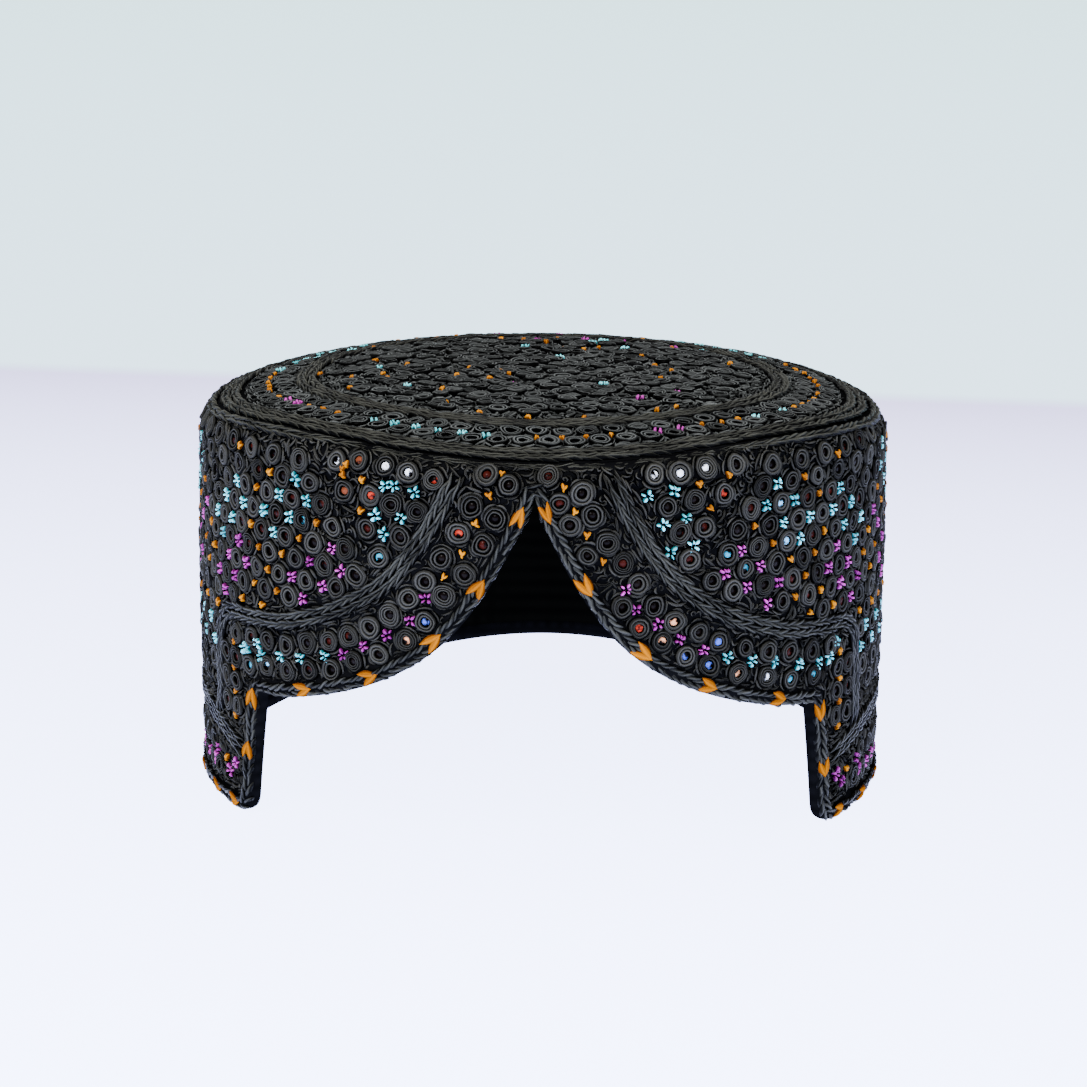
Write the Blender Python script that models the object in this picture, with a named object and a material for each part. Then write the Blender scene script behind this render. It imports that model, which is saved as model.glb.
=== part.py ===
import math

import bpy
import bmesh
from mathutils import Vector

# Sindhi cap: a flat domed crown on a round wall, a pointed arch cut out over the
# forehead, two long side flaps and a higher hem at the back. Front faces -Y,
# the hem of the flaps rests at z = 0 and the crown is up.

mm = 0.001

# Overall sizes
chartRadius = 95.0 * mm      # radius at which lengths round the wall are measured
wallRadius = 93.9 * mm       # outside of the wall cloth at mid height
wallBulge = 0.9 * mm         # how much the wall draws in at hem and shoulder
wallMiddle = 56.0 * mm
clothThick = 1.9 * mm        # quilted outer cloth
liningThick = 0.8 * mm
pieceGap = 0.3 * mm          # gap between neighbouring pieces

# Crown
crownTop = 110.7 * mm        # outer cloth at the middle of the crown
crownRadius = 87.4 * mm      # where the crown starts to turn down
crownDrop = 6.0 * mm         # fall from the middle to that radius
crownTilt = 0.7 * mm         # front edge this much up, back edge this much down
crownLift = 3.0 * mm         # soft rise of the edge either side of the front middle
sideSag = 1.2 * mm           # soft fall of the edge over the ears
shoulderDrop = 9.0 * mm      # height of the rounded shoulder
shoulderFullness = 0.66
seamRadius = 89.4 * mm       # seam between crown and wall

# Lower outline, right half, as lengths round the wall from the front middle
archApex = 98.6 * mm
archTopRadius = 0.9 * mm
archFootHeight = 35.7 * mm
archPath = [
    {"round": 0.9, "height": 97.7},
    {"round": 3.0, "height": 90.3},
    {"round": 5.6, "height": 84.0},
    {"round": 8.6, "height": 78.2},
    {"round": 12.0, "height": 72.6},
    {"round": 16.4, "height": 66.2},
    {"round": 22.2, "height": 59.4},
    {"round": 30.0, "height": 52.9},
    {"round": 39.0, "height": 47.6},
    {"round": 48.0, "height": 43.7},
    {"round": 58.0, "height": 40.4},
    {"round": 69.0, "height": 37.6},
    {"round": 77.0, "height": 36.2},
    {"round": 82.0, "height": 35.7},
]
stepRadius = 1.2 * mm
flapFrontTop = 83.2 * mm
flapFrontFoot = 88.9 * mm
flapTipRadius = 6.5 * mm
flapEnd = 186.0 * mm         # flap hem is level up to here, then rises
backHem = 9.9 * mm
halfLength = math.pi * chartRadius

# Edge binding
bindWidth = 4.2 * mm
bindWidthAtApex = 1.5 * mm
bindTaper = 18.0 * mm
bindProud = 1.7 * mm

# Braids laid on the cloth
braidThick = 1.5 * mm
strandWidth = 3.0 * mm
strandPitch = 3.3 * mm       # between the two strands of a double braid
edgeBraidRadius = 87.0 * mm
edgeBraidWidth = 3.4 * mm
shoulderBraidWidth = 2.6 * mm
innerBraidRadii = {"crown_inner_braid_outer": 66.9 * mm, "crown_inner_braid_inner": 63.6 * mm}

# Middle line of the double braid on each front panel and down the side seam
panelBraidPath = [
    {"round": 21.0, "height": 99.0},
    {"round": 27.5, "height": 87.0},
    {"round": 38.0, "height": 73.8},
    {"round": 53.0, "height": 64.2},
    {"round": 70.0, "height": 58.2},
    {"round": 85.0, "height": 56.0},
    {"round": 97.0, "height": 55.0},
    {"round": 103.0, "height": 51.5},
    {"round": 105.3, "height": 44.0},
    {"round": 106.0, "height": 36.0},
    {"round": 107.0, "height": 27.8},
]

# Middle line of the double braid above the hem, from flap front to back middle
hemBraidPath = [
    {"round": 96.6, "height": 19.0},
    {"round": 106.0, "height": 21.6},
    {"round": 116.0, "height": 23.6},
    {"round": 130.0, "height": 25.2},
    {"round": 150.0, "height": 25.8},
    {"round": 186.0, "height": 25.8},
    {"round": 240.0, "height": 28.2},
    {"round": 298.45, "height": 30.0},
]

seamRound = 105.4 * mm       # side seam between front and back wall panels
backSeamBraid = {"low": 34.4, "high": 98.5}

blackThread = (0.018, 0.020, 0.023, 1.0)
blackCloth = (0.008, 0.008, 0.009, 1.0)
liningCloth = (0.005, 0.005, 0.006, 1.0)


def clearScene():
    for thing in list(bpy.data.objects):
        bpy.data.objects.remove(thing, do_unlink=True)


def material(name, color, roughness):
    found = bpy.data.materials.get(name) or bpy.data.materials.new(name)
    found.use_nodes = True
    shader = found.node_tree.nodes["Principled BSDF"]
    shader.inputs["Base Color"].default_value = color
    shader.inputs["Roughness"].default_value = roughness
    found.diffuse_color = color
    return found


# Outer surface of the cloth


def crownHeight(angle, radius):
    share = radius / crownRadius
    lift = crownLift * math.sin(2 * angle) ** 2 if math.cos(angle) > 0 else 0.0
    lift -= sideSag * math.sin(angle) ** 2
    return (crownTop - (crownDrop - lift) * share ** 4
            + crownTilt * share * math.cos(angle))


def wallRadiusAt(height):
    return wallRadius - wallBulge * ((height - wallMiddle) / wallMiddle) ** 2


def shoulderPoint(angle, t):
    top = crownHeight(angle, crownRadius)
    low = top - shoulderDrop
    slope = (crownHeight(angle, crownRadius - mm) - top) / mm
    a = Vector((wallRadiusAt(low), low))
    d = Vector((crownRadius, top))
    reach = (a.x - d.x) * shoulderFullness
    b = a + Vector((0.0, shoulderDrop * shoulderFullness))
    c = d + Vector((reach, -reach * slope))
    u = 1.0 - t
    return a * u ** 3 + b * (3 * u * u * t) + c * (3 * u * t * t) + d * t ** 3


profiles = {}


def profile(angle):
    # points up the wall, over the shoulder and on to the crown, each with its
    # length along the cloth measured up from z = 0
    key = round(angle, 6)
    if key in profiles:
        return profiles[key]
    low = crownHeight(angle, crownRadius) - shoulderDrop
    points = [Vector((wallRadiusAt(0.0), -5.0 * mm))]
    points += [Vector((wallRadiusAt(low * i / 24), low * i / 24)) for i in range(24)]
    points += [shoulderPoint(angle, i / 24) for i in range(25)]
    points += [Vector((r, crownHeight(angle, r)))
               for r in (crownRadius * (1.0 - i / 20) for i in range(1, 12))]
    lengths = [-5.0 * mm, 0.0]
    for before, after in zip(points[1:], points[2:]):
        lengths.append(lengths[-1] + (after - before).length)
    profiles[key] = (points, lengths)
    return profiles[key]


def seamLength(angle):
    points, lengths = profile(angle)
    for i in range(len(points) - 1):
        if lengths[i] > 80 * mm and points[i].x >= seamRadius > points[i + 1].x:
            share = (points[i].x - seamRadius) / (points[i].x - points[i + 1].x)
            return lengths[i] + share * (lengths[i + 1] - lengths[i])
    return lengths[-1]


def onProfile(angle, length):
    points, lengths = profile(angle)
    i = 0
    while i < len(lengths) - 2 and lengths[i + 1] < length:
        i += 1
    share = (length - lengths[i]) / (lengths[i + 1] - lengths[i])
    spot = points[i].lerp(points[i + 1], share)
    return spot, i, share


def profileNormal(angle, length):
    # level on the wall, so that a level hem stays level through its thickness,
    # and turning smoothly upward over the shoulder
    low = crownHeight(angle, crownRadius) - shoulderDrop
    if length <= low:
        return Vector((1.0, 0.0))
    step = 0.8 * mm
    before = onProfile(angle, length - step)[0]
    after = onProfile(angle, length + step)[0]
    along = (after - before).normalized()
    normal = Vector((along.y, -along.x))
    blend = min(1.0, (length - low) / (3.0 * mm))
    return Vector((1.0, 0.0)).lerp(normal, blend).normalized()


def turned(radius, height, angle):
    return Vector((radius * math.sin(angle), -radius * math.cos(angle), height))


def onWall(roundLength, length, out):
    angle = roundLength / chartRadius
    spot = onProfile(angle, length)[0]
    normal = profileNormal(angle, length)
    return turned(spot.x + normal.x * out, spot.y + normal.y * out, angle)


def onCrown(angle, radius, out):
    step = 0.5 * mm
    slope = (crownHeight(angle, radius + step) - crownHeight(angle, max(radius - step, 0.0)))
    slope /= step + min(step, radius)
    normal = Vector((-slope, 1.0)).normalized()
    height = crownHeight(angle, radius)
    return turned(radius + normal.x * out, height + normal.y * out, angle)


# Even stations along a curve through a table of points


def smoothPath(path, step):
    # even stations along a smooth curve through the named points
    points = [Vector((p["round"] * mm, p["height"] * mm)) for p in path]
    ends = [points[0] * 2 - points[1]] + points + [points[-1] * 2 - points[-2]]
    fine = []
    for i in range(len(points) - 1):
        a, b, c, d = ends[i:i + 4]
        for k in range(10):
            t = k / 10
            fine.append(0.5 * (2 * b + (c - a) * t + (2 * a - 5 * b + 4 * c - d) * t * t
                               + (3 * b - a - 3 * c + d) * t ** 3))
    fine.append(points[-1])
    lengths = [0.0]
    for before, after in zip(fine, fine[1:]):
        lengths.append(lengths[-1] + (after - before).length)
    count = max(2, round(lengths[-1] / step))
    stations, i = [], 0
    for k in range(count + 1):
        want = lengths[-1] * k / count
        while i < len(fine) - 2 and lengths[i + 1] < want:
            i += 1
        share = (want - lengths[i]) / (lengths[i + 1] - lengths[i])
        spot = fine[i].lerp(fine[i + 1], share)
        along = (fine[i + 1] - fine[i]).normalized()
        stations.append((spot, along))
    return stations


# Lower outline of the cap with the direction into the cloth at each station


def smooth(t):
    t = max(0.0, min(1.0, t))
    return t * t * (3.0 - 2.0 * t)


def halfOutline():
    stations = []

    def add(s, z, ns, nz):
        size = math.hypot(ns, nz)
        stations.append({"round": s, "height": z, "ns": ns / size, "nz": nz / size})

    capMiddle = archApex - archTopRadius
    for degrees in (90, 65, 40):
        a = math.radians(degrees)
        add(archTopRadius * math.cos(a), capMiddle + archTopRadius * math.sin(a),
            math.cos(a), math.sin(a))
    for spot, along in smoothPath(archPath, 6.4 * mm)[:-1]:
        add(spot.x, spot.y, -along.y, along.x)
    foot = Vector((flapFrontTop - stepRadius, archFootHeight))
    down = Vector((flapFrontFoot - flapFrontTop, -(archFootHeight - flapTipRadius))).normalized()
    for share in (0.0, 0.35, 0.7, 1.0):
        turn = math.atan2(-down.y, down.x) * share
        n = Vector((math.sin(turn), math.cos(turn)))
        add(foot.x + stepRadius * n.x, foot.y - stepRadius + stepRadius * n.y, n.x, n.y)
    start = Vector((stations[-1]["round"], stations[-1]["height"]))
    n = Vector((-down.y, down.x))
    lift = flapTipRadius * (1.0 - n.y)
    run = (start.y - lift) / -down.y
    for length in (pieceGap, run * 0.33, run * 0.66, run):
        spot = start + down * length
        add(spot.x, spot.y, n.x, n.y)
    centre = start + down * run + n * flapTipRadius
    first = math.atan2(n.x, n.y)
    for share in (0.25, 0.5, 0.75, 1.0):
        a = first * (1.0 - share)
        add(centre.x - flapTipRadius * math.sin(a), centre.y - flapTipRadius * math.cos(a),
            math.sin(a), math.cos(a))
    level = stations[-1]["round"]
    stops = [seamRound - pieceGap / 2, seamRound + pieceGap / 2]
    count = 9
    stops += [stops[1] + (flapEnd - stops[1]) * i / count for i in range(1, count)]
    stops += [flapEnd, flapEnd + pieceGap]
    for s in stops:
        if s > level + mm:
            add(s, 0.0, 0.0, 1.0)
    count = 13
    for i in range(1, count + 1):
        s = flapEnd + (halfLength - flapEnd) * i / count
        z = backHem * smooth((s - flapEnd) / (halfLength - flapEnd))
        ahead = backHem * smooth((s + mm - flapEnd) / (halfLength - flapEnd))
        back = backHem * smooth((s - mm - flapEnd) / (halfLength - flapEnd))
        rise = 0.0 if i == count else (ahead - back) / (2 * mm)
        add(s, z, -rise, 1.0)
    travelled = 0.0
    for i, station in enumerate(stations):
        if i:
            travelled += math.hypot(station["round"] - stations[i - 1]["round"],
                                    station["height"] - stations[i - 1]["height"])
        share = smooth(travelled / bindTaper)
        station["width"] = bindWidthAtApex + (bindWidth - bindWidthAtApex) * share
    return stations


def mirrored(station):
    twin = dict(station)
    twin["round"] = -station["round"]
    twin["ns"] = -station["ns"]
    return twin


# Mesh helpers


def finish(name, verts, faces, look):
    mesh = bpy.data.meshes.new(name)
    mesh.from_pydata([tuple(v) for v in verts], [], faces)
    shape = bmesh.new()
    shape.from_mesh(mesh)
    bmesh.ops.recalc_face_normals(shape, faces=shape.faces[:])
    shape.to_mesh(mesh)
    shape.free()
    for face in mesh.polygons:
        face.use_smooth = True
    mesh.materials.append(look)
    thing = bpy.data.objects.new(name, mesh)
    bpy.context.scene.collection.objects.link(thing)
    return thing


def sheet(name, columns, closed, look):
    # columns of (outer, inner) point pairs make one closed sheet of cloth
    verts, faces = [], []
    rows = len(columns[0])
    for column in columns:
        for outer, inner in column:
            verts += [outer, inner]
    total = len(columns)

    def at(c, r, side):
        return ((c % total) * rows + r) * 2 + side

    spans = total if closed else total - 1
    for c in range(spans):
        for r in range(rows - 1):
            faces.append((at(c, r, 0), at(c + 1, r, 0), at(c + 1, r + 1, 0), at(c, r + 1, 0)))
            faces.append((at(c, r, 1), at(c, r + 1, 1), at(c + 1, r + 1, 1), at(c + 1, r, 1)))
        for r in (0, rows - 1):
            faces.append((at(c, r, 0), at(c, r, 1), at(c + 1, r, 1), at(c + 1, r, 0)))
    if not closed:
        for c in (0, total - 1):
            for r in range(rows - 1):
                faces.append((at(c, r, 0), at(c, r + 1, 0), at(c, r + 1, 1), at(c, r, 1)))
    return finish(name, verts, faces, look)


def sweep(name, sections, closed, look):
    # sections of equal point counts joined into one closed bar
    size = len(sections[0])
    total = len(sections)
    verts = [point for section in sections for point in section]
    faces = []
    spans = total if closed else total - 1
    for c in range(spans):
        for k in range(size):
            a, b = c * size + k, c * size + (k + 1) % size
            d, e = ((c + 1) % total) * size + k, ((c + 1) % total) * size + (k + 1) % size
            faces.append((a, b, e, d))
    if not closed:
        faces.append(tuple(range(size)))
        faces.append(tuple(range((total - 1) * size, total * size)))
    return finish(name, verts, faces, look)


def disc(name, rings, look):
    # rings of (outer, inner) pairs from the edge inward, closed by a middle pair
    verts, faces = [], []
    edge, middle = rings[:-1], rings[-1]
    count = len(edge[0])
    for ring in edge:
        for outer, inner in ring:
            verts += [outer, inner]
    verts += list(middle)

    def at(r, k, side):
        return (r * count + k % count) * 2 + side

    for r in range(len(edge) - 1):
        for k in range(count):
            for side in (0, 1):
                faces.append((at(r, k, side), at(r, k + 1, side),
                              at(r + 1, k + 1, side), at(r + 1, k, side)))
    last = len(edge) - 1
    for k in range(count):
        faces.append((at(0, k, 0), at(0, k, 1), at(0, k + 1, 1), at(0, k + 1, 0)))
        for side in (0, 1):
            faces.append((at(last, k, side), at(last, k + 1, side), len(verts) - 2 + side))
    return finish(name, verts, faces, look)


# Cloth of the crown and wall


def crownSheet(name, radii, segments, outer, inner, edgeBack, look):
    rings = []
    for index, radius in enumerate([None] + radii):
        ring = []
        for k in range(segments):
            angle = 2 * math.pi * k / segments
            if radius is None:
                length = seamLength(angle) + edgeBack
                pair = (onWall(angle * chartRadius, length, outer),
                        onWall(angle * chartRadius, length, inner))
            else:
                pair = (onCrown(angle, radius, outer), onCrown(angle, radius, inner))
            ring.append(pair)
        rings.append(ring)
    rings.append((onCrown(0.0, 0.0, outer), onCrown(0.0, 0.0, inner)))
    return disc(name, rings, look)


def wallColumn(station, rowShares, margin, topBack, outer, inner):
    offset = station["width"] + margin
    s = station["round"] + station["ns"] * offset
    low = station["height"] + station["nz"] * offset
    high = seamLength(s / chartRadius) - topBack
    lengths = [low + (high - low) * share for share in rowShares]
    return [(onWall(s, length, outer), onWall(s, length, inner)) for length in lengths]


# Braids


braidProfile = (
    {"across": -0.5, "out": 0.0},
    {"across": -0.28, "out": 1.0},
    {"across": 0.28, "out": 1.0},
    {"across": 0.5, "out": 0.0},
)
# on the rounded shoulder the underside bends with the cloth
bentProfile = braidProfile + (
    {"across": 0.2, "out": 0.0},
    {"across": -0.2, "out": 0.0},
)


def strand(name, stations, side, width, closed, look):
    sections = []
    for spot, along in stations:
        left = Vector((-along.y, along.x))
        section = []
        for point in braidProfile:
            place = spot + left * (side + point["across"] * width)
            section.append(onWall(place.x, place.y, pieceGap + point["out"] * braidThick))
        sections.append(section)
    return sweep(name, sections, closed, look)


def crownStrand(name, radius, width, segments, look):
    sections = []
    for k in range(segments):
        angle = 2 * math.pi * k / segments
        sections.append([onCrown(angle, radius + point["across"] * width,
                                 pieceGap + point["out"] * braidThick)
                         for point in bentProfile])
    return sweep(name, sections, True, look)


def shoulderStrand(name, width, segments, look):
    sections = []
    for k in range(segments):
        angle = 2 * math.pi * k / segments
        middle = seamLength(angle) - 0.35 * mm - width / 2
        sections.append([onWall(angle * chartRadius, middle + point["across"] * width,
                                pieceGap + point["out"] * braidThick)
                         for point in bentProfile])
    return sweep(name, sections, True, look)


# Binding round the lower edge

bindSection = (
    {"across": 0.45, "out": -(clothThick + pieceGap + liningThick)},
    {"across": 0.0, "out": -1.6 * mm},
    {"across": 0.0, "out": 0.3 * mm},
    {"across": 0.28, "out": bindProud},
    {"across": 0.72, "out": bindProud},
    {"across": 1.0, "out": 0.4 * mm},
    {"across": 1.0, "out": -(clothThick + pieceGap + liningThick)},
)


def binding(name, stations, look):
    sections = []
    for station in stations:
        section = []
        for point in bindSection:
            offset = point["across"] * station["width"]
            s = station["round"] + station["ns"] * offset
            z = station["height"] + station["nz"] * offset
            section.append(onWall(s, z, point["out"]))
        sections.append(section)
    return sweep(name, sections, False, look)


def build():
    clearScene()
    thread = material("embroidered black cloth", blackCloth, 0.8)
    braid = material("black braid thread", blackThread, 0.55)
    lining = material("plain black lining cotton", liningCloth, 0.95)

    right = halfOutline()
    left = [mirrored(station) for station in reversed(right)]

    def cut(stations, low, high):
        return [st for st in stations if low - 1e-7 <= abs(st["round"]) <= high + 1e-7]

    # the outline is split just below the step corner and where the flap ends
    step = next(i for i, st in enumerate(right)
                if st["round"] > flapFrontTop - stepRadius and st["nz"] < 0.2)
    end = next(i for i, st in enumerate(right) if st["round"] > flapEnd + mm * 0.1)
    arch = [mirrored(st) for st in reversed(right[1:step + 1])] + right[:step + 1]
    binding("binding_arch", arch, braid)
    binding("binding_flap_right", right[step + 1:end], braid)
    binding("binding_flap_left", [mirrored(st) for st in right[step + 1:end]], braid)
    backRight = right[end:]
    binding("binding_back", backRight + [mirrored(st) for st in reversed(backRight[:-1])], braid)

    # wall cloth: two front panels with the arch between them, two back panels
    rows = (0.0, 0.46, 0.91, 0.962, 1.0)
    half = pieceGap / 2
    seamAt = next(i for i, st in enumerate(right) if abs(st["round"] - seamRound - half) < 1e-7)
    for side, name in ((1, "right"), (-1, "left")):
        stations = right if side > 0 else [mirrored(st) for st in right]
        for part, chosen in (("front", stations[:seamAt]), ("back", stations[seamAt:])):
            columns = []
            for station in chosen:
                trimmed = dict(station)
                if abs(trimmed["round"]) < 1e-7:
                    trimmed["round"] = side * half
                if abs(trimmed["round"]) > halfLength - 1e-7:
                    trimmed["round"] = side * (halfLength - half)
                columns.append(wallColumn(trimmed, rows, pieceGap, half, 0.0, -clothThick))
            sheet("wall_" + part + "_" + name, columns, False, thread)

    # wall lining in one piece behind the four panels
    liningOut = -(clothThick + pieceGap)
    stations = right + [mirrored(st) for st in reversed(right[1:-1])]
    columns = [wallColumn(st, (0.0, 0.5, 0.92, 1.0), pieceGap, half, liningOut,
                          liningOut - liningThick) for st in stations]
    sheet("wall_lining", columns, True, lining)

    crownSheet("crown_panel", [r * mm for r in (84.0, 76.0, 66.0, 50.0, 30.0)], 64,
               0.0, -clothThick, half, thread)
    crownSheet("crown_lining", [r * mm for r in (82.0, 68.0, 44.0)], 48,
               liningOut, liningOut - liningThick, half, lining)

    crownStrand("crown_edge_braid", edgeBraidRadius, edgeBraidWidth, 60, braid)
    shoulderStrand("shoulder_braid", shoulderBraidWidth, 60, braid)
    for name, radius in innerBraidRadii.items():
        crownStrand(name, radius, strandWidth, 40, braid)

    panel = smoothPath(panelBraidPath, 5.0 * mm)
    hem = smoothPath(hemBraidPath, 8.5 * mm)
    hemWhole = hem + [(Vector((2 * halfLength - spot.x, spot.y)), Vector((along.x, -along.y)))
                      for spot, along in reversed(hem[:-1])]
    for name, offset in (("upper", strandPitch / 2), ("lower", -strandPitch / 2)):
        strand("panel_braid_right_" + name, panel, offset, strandWidth, False, braid)
        twin = [(Vector((-spot.x, spot.y)), Vector((-along.x, along.y))) for spot, along in panel]
        strand("panel_braid_left_" + name, twin, -offset, strandWidth, False, braid)
        strand("hem_braid_" + name, hemWhole, offset, strandWidth, False, braid)
    low, high = backSeamBraid["low"] * mm, backSeamBraid["high"] * mm
    steps = 11
    seam = [(Vector((halfLength, low + (high - low) * i / steps)), Vector((0.0, 1.0)))
            for i in range(steps + 1)]
    strand("back_seam_braid", seam, 0.0, strandWidth, False, braid)


build()
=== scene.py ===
import math

import bpy
import numpy as np
from mathutils import Matrix, Vector
from mathutils.kdtree import KDTree


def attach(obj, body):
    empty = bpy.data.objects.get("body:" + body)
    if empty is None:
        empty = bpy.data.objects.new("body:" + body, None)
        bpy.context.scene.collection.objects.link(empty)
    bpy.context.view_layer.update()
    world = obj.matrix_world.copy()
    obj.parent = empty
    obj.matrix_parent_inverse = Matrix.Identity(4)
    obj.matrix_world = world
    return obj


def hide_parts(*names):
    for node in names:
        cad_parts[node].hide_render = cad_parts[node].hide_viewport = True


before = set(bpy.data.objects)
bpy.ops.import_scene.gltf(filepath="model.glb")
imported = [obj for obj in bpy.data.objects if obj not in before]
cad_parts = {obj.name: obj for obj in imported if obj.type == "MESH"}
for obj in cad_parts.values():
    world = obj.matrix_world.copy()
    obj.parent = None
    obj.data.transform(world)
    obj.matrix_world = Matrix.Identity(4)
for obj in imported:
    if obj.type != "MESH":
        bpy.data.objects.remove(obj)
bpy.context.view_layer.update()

mm = 0.001
print("frame loaded:", len(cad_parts), "solids")

# Sizes of the cap in millimetres, the same as those of its solids. Lengths round
# the wall ("round") are measured at chartRadius from the front middle, + to the
# wearer's left (+X); "length" runs up the wall from z = 0 and over the shoulder.
shell = {
    "chartRadius": 95.0,
    "wallRadius": 93.9,
    "wallBulge": 0.9,
    "wallMiddle": 56.0,
    "crownTop": 110.7,
    "crownRadius": 87.4,
    "crownDrop": 6.0,
    "crownTilt": 0.7,
    "crownLift": 3.0,
    "sideSag": 1.2,
    "shoulderDrop": 9.0,
    "shoulderFullness": 0.66,
    "seamRadius": 89.4,
    "bindWidth": 4.2,
    "bindWidthAtApex": 1.5,
    "bindTaper": 18.0,
}
halfRound = math.pi * shell["chartRadius"]


def crownHeight(angle, radius):
    share = radius / shell["crownRadius"]
    lift = np.where(np.cos(angle) > 0, shell["crownLift"] * np.sin(2 * angle) ** 2, 0.0)
    lift = lift - shell["sideSag"] * np.sin(angle) ** 2
    return (shell["crownTop"] - (shell["crownDrop"] - lift) * share ** 4
            + shell["crownTilt"] * share * np.cos(angle))


def wallRadiusAt(height):
    share = (height - shell["wallMiddle"]) / shell["wallMiddle"]
    return shell["wallRadius"] - shell["wallBulge"] * share ** 2


lengthStep = 0.5
lengthGrid = np.arange(0.0, 128.0, lengthStep)


def surfaceTables():
    # radius and height of the outer cloth for each degree round and each length up
    radii, heights, seams = [], [], []
    for degree in range(361):
        angle = math.radians(degree)
        top = float(crownHeight(angle, shell["crownRadius"]))
        low = top - shell["shoulderDrop"]
        slope = float(crownHeight(angle, shell["crownRadius"] - 1.0)) - top
        a = np.array((wallRadiusAt(low), low))
        d = np.array((shell["crownRadius"], top))
        reach = (a[0] - d[0]) * shell["shoulderFullness"]
        b = a + np.array((0.0, shell["shoulderDrop"] * shell["shoulderFullness"]))
        c = d + np.array((reach, -reach * slope))
        wall = [(wallRadiusAt(low * i / 24), low * i / 24) for i in range(24)]
        t = np.linspace(0.0, 1.0, 33)[:, None]
        bend = a * (1 - t) ** 3 + b * 3 * (1 - t) ** 2 * t + c * 3 * (1 - t) * t ** 2 + d * t ** 3
        crown = [(r, float(crownHeight(angle, r)))
                 for r in (shell["crownRadius"] * (1 - i / 20) for i in range(1, 9))]
        line = np.array(wall + bend.tolist() + crown)
        along = np.concatenate(([0.0], np.cumsum(np.hypot(*np.diff(line, axis=0).T))))
        radii.append(np.interp(lengthGrid, along, line[:, 0]))
        heights.append(np.interp(lengthGrid, along, line[:, 1]))
        over = np.argmax((line[:, 0] <= shell["seamRadius"]) & (along > 80))
        share = (line[over - 1, 0] - shell["seamRadius"]) / (line[over - 1, 0] - line[over, 0])
        seams.append(along[over - 1] + share * (along[over] - along[over - 1]))
    return np.array(radii), np.array(heights), np.array(seams)


radiusTable, heightTable, seamTable = surfaceTables()


def blendTable(table, rounds, lengths):
    turn = np.degrees(np.asarray(rounds, float) / shell["chartRadius"]) % 360.0
    i = np.minimum(np.floor(turn).astype(int), 359)
    u = turn - i
    at = np.clip(np.asarray(lengths, float) / lengthStep, 0, len(lengthGrid) - 2)
    j = np.floor(at).astype(int)
    v = at - j
    return ((1 - u) * ((1 - v) * table[i, j] + v * table[i, j + 1])
            + u * ((1 - v) * table[i + 1, j] + v * table[i + 1, j + 1]))


def seamLength(rounds):
    turn = np.degrees(np.asarray(rounds, float) / shell["chartRadius"]) % 360.0
    return np.interp(turn, np.arange(361), seamTable)


viewFall = 0.2235  # how far the charted line of sight drops for each millimetre it goes in


def lengthAtHeight(rounds, heights):
    # the length up the cloth of a point that was charted on the upright chart
    result = []
    for s, z in zip(rounds, heights):
        degree = int(round(math.degrees(s / shell["chartRadius"]))) % 360
        seen = heightTable[degree] + viewFall * (shell["chartRadius"] - radiusTable[degree])
        result.append(np.interp(z, seen, lengthGrid))
    return np.array(result)


def wallSpots(rounds, lengths, out=0.0, headings=None):
    # points on the wall in metres, with the way they face and the way they run
    rounds, lengths = np.asarray(rounds, float), np.asarray(lengths, float)
    angle = rounds / shell["chartRadius"]
    radius = blendTable(radiusTable, rounds, lengths)
    height = blendTable(heightTable, rounds, lengths)
    dr = blendTable(radiusTable, rounds, lengths + 0.8) - blendTable(radiusTable, rounds, lengths - 0.8)
    dz = blendTable(heightTable, rounds, lengths + 0.8) - blendTable(heightTable, rounds, lengths - 0.8)
    size = np.hypot(dr, dz)
    nr, nz = dz / size, -dr / size
    outward = np.stack([np.sin(angle), -np.cos(angle), np.zeros_like(angle)], -1)
    sideways = np.stack([np.cos(angle), np.sin(angle), np.zeros_like(angle)], -1)
    up = np.array((0.0, 0.0, 1.0))
    facing = outward * nr[:, None] + up * nz[:, None]
    along = up * nr[:, None] - outward * nz[:, None]
    place = outward * radius[:, None] + up * height[:, None] + facing * np.reshape(out, (-1, 1))
    if headings is None:
        headings = np.tile((1.0, 0.0), (len(rounds), 1))
    heading = sideways * headings[:, :1] + along * headings[:, 1:]
    heading /= np.linalg.norm(heading, axis=1)[:, None]
    return {"co": place * mm, "facing": facing, "heading": heading}


def crownSpots(x, y, out=0.0, headings=None):
    # points on the crown from flat coordinates seen from above
    x, y = np.asarray(x, float), np.asarray(y, float)
    angle, radius = np.arctan2(x, -y), np.hypot(x, y)
    slope = crownHeight(angle, radius + 0.5) - crownHeight(angle, np.maximum(radius - 0.5, 0.0))
    outward = np.stack([np.sin(angle), -np.cos(angle), np.zeros_like(angle)], -1)
    up = np.array((0.0, 0.0, 1.0))
    facing = up - outward * slope[:, None]
    facing /= np.linalg.norm(facing, axis=1)[:, None]
    place = np.stack([x, y, crownHeight(angle, radius)], -1) + facing * np.reshape(out, (-1, 1))
    if headings is None:
        headings = np.tile((1.0, 0.0), (len(x), 1))
    heading = np.concatenate([headings, np.zeros((len(x), 1))], 1)
    heading[:, 2] = slope * (heading[:, 0] * outward[:, 0] + heading[:, 1] * outward[:, 1])
    heading /= np.linalg.norm(heading, axis=1)[:, None]
    return {"co": place * mm, "facing": facing, "heading": heading}


# Lines on the chart: the lower edge and the braids, as (round, height) tables

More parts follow.
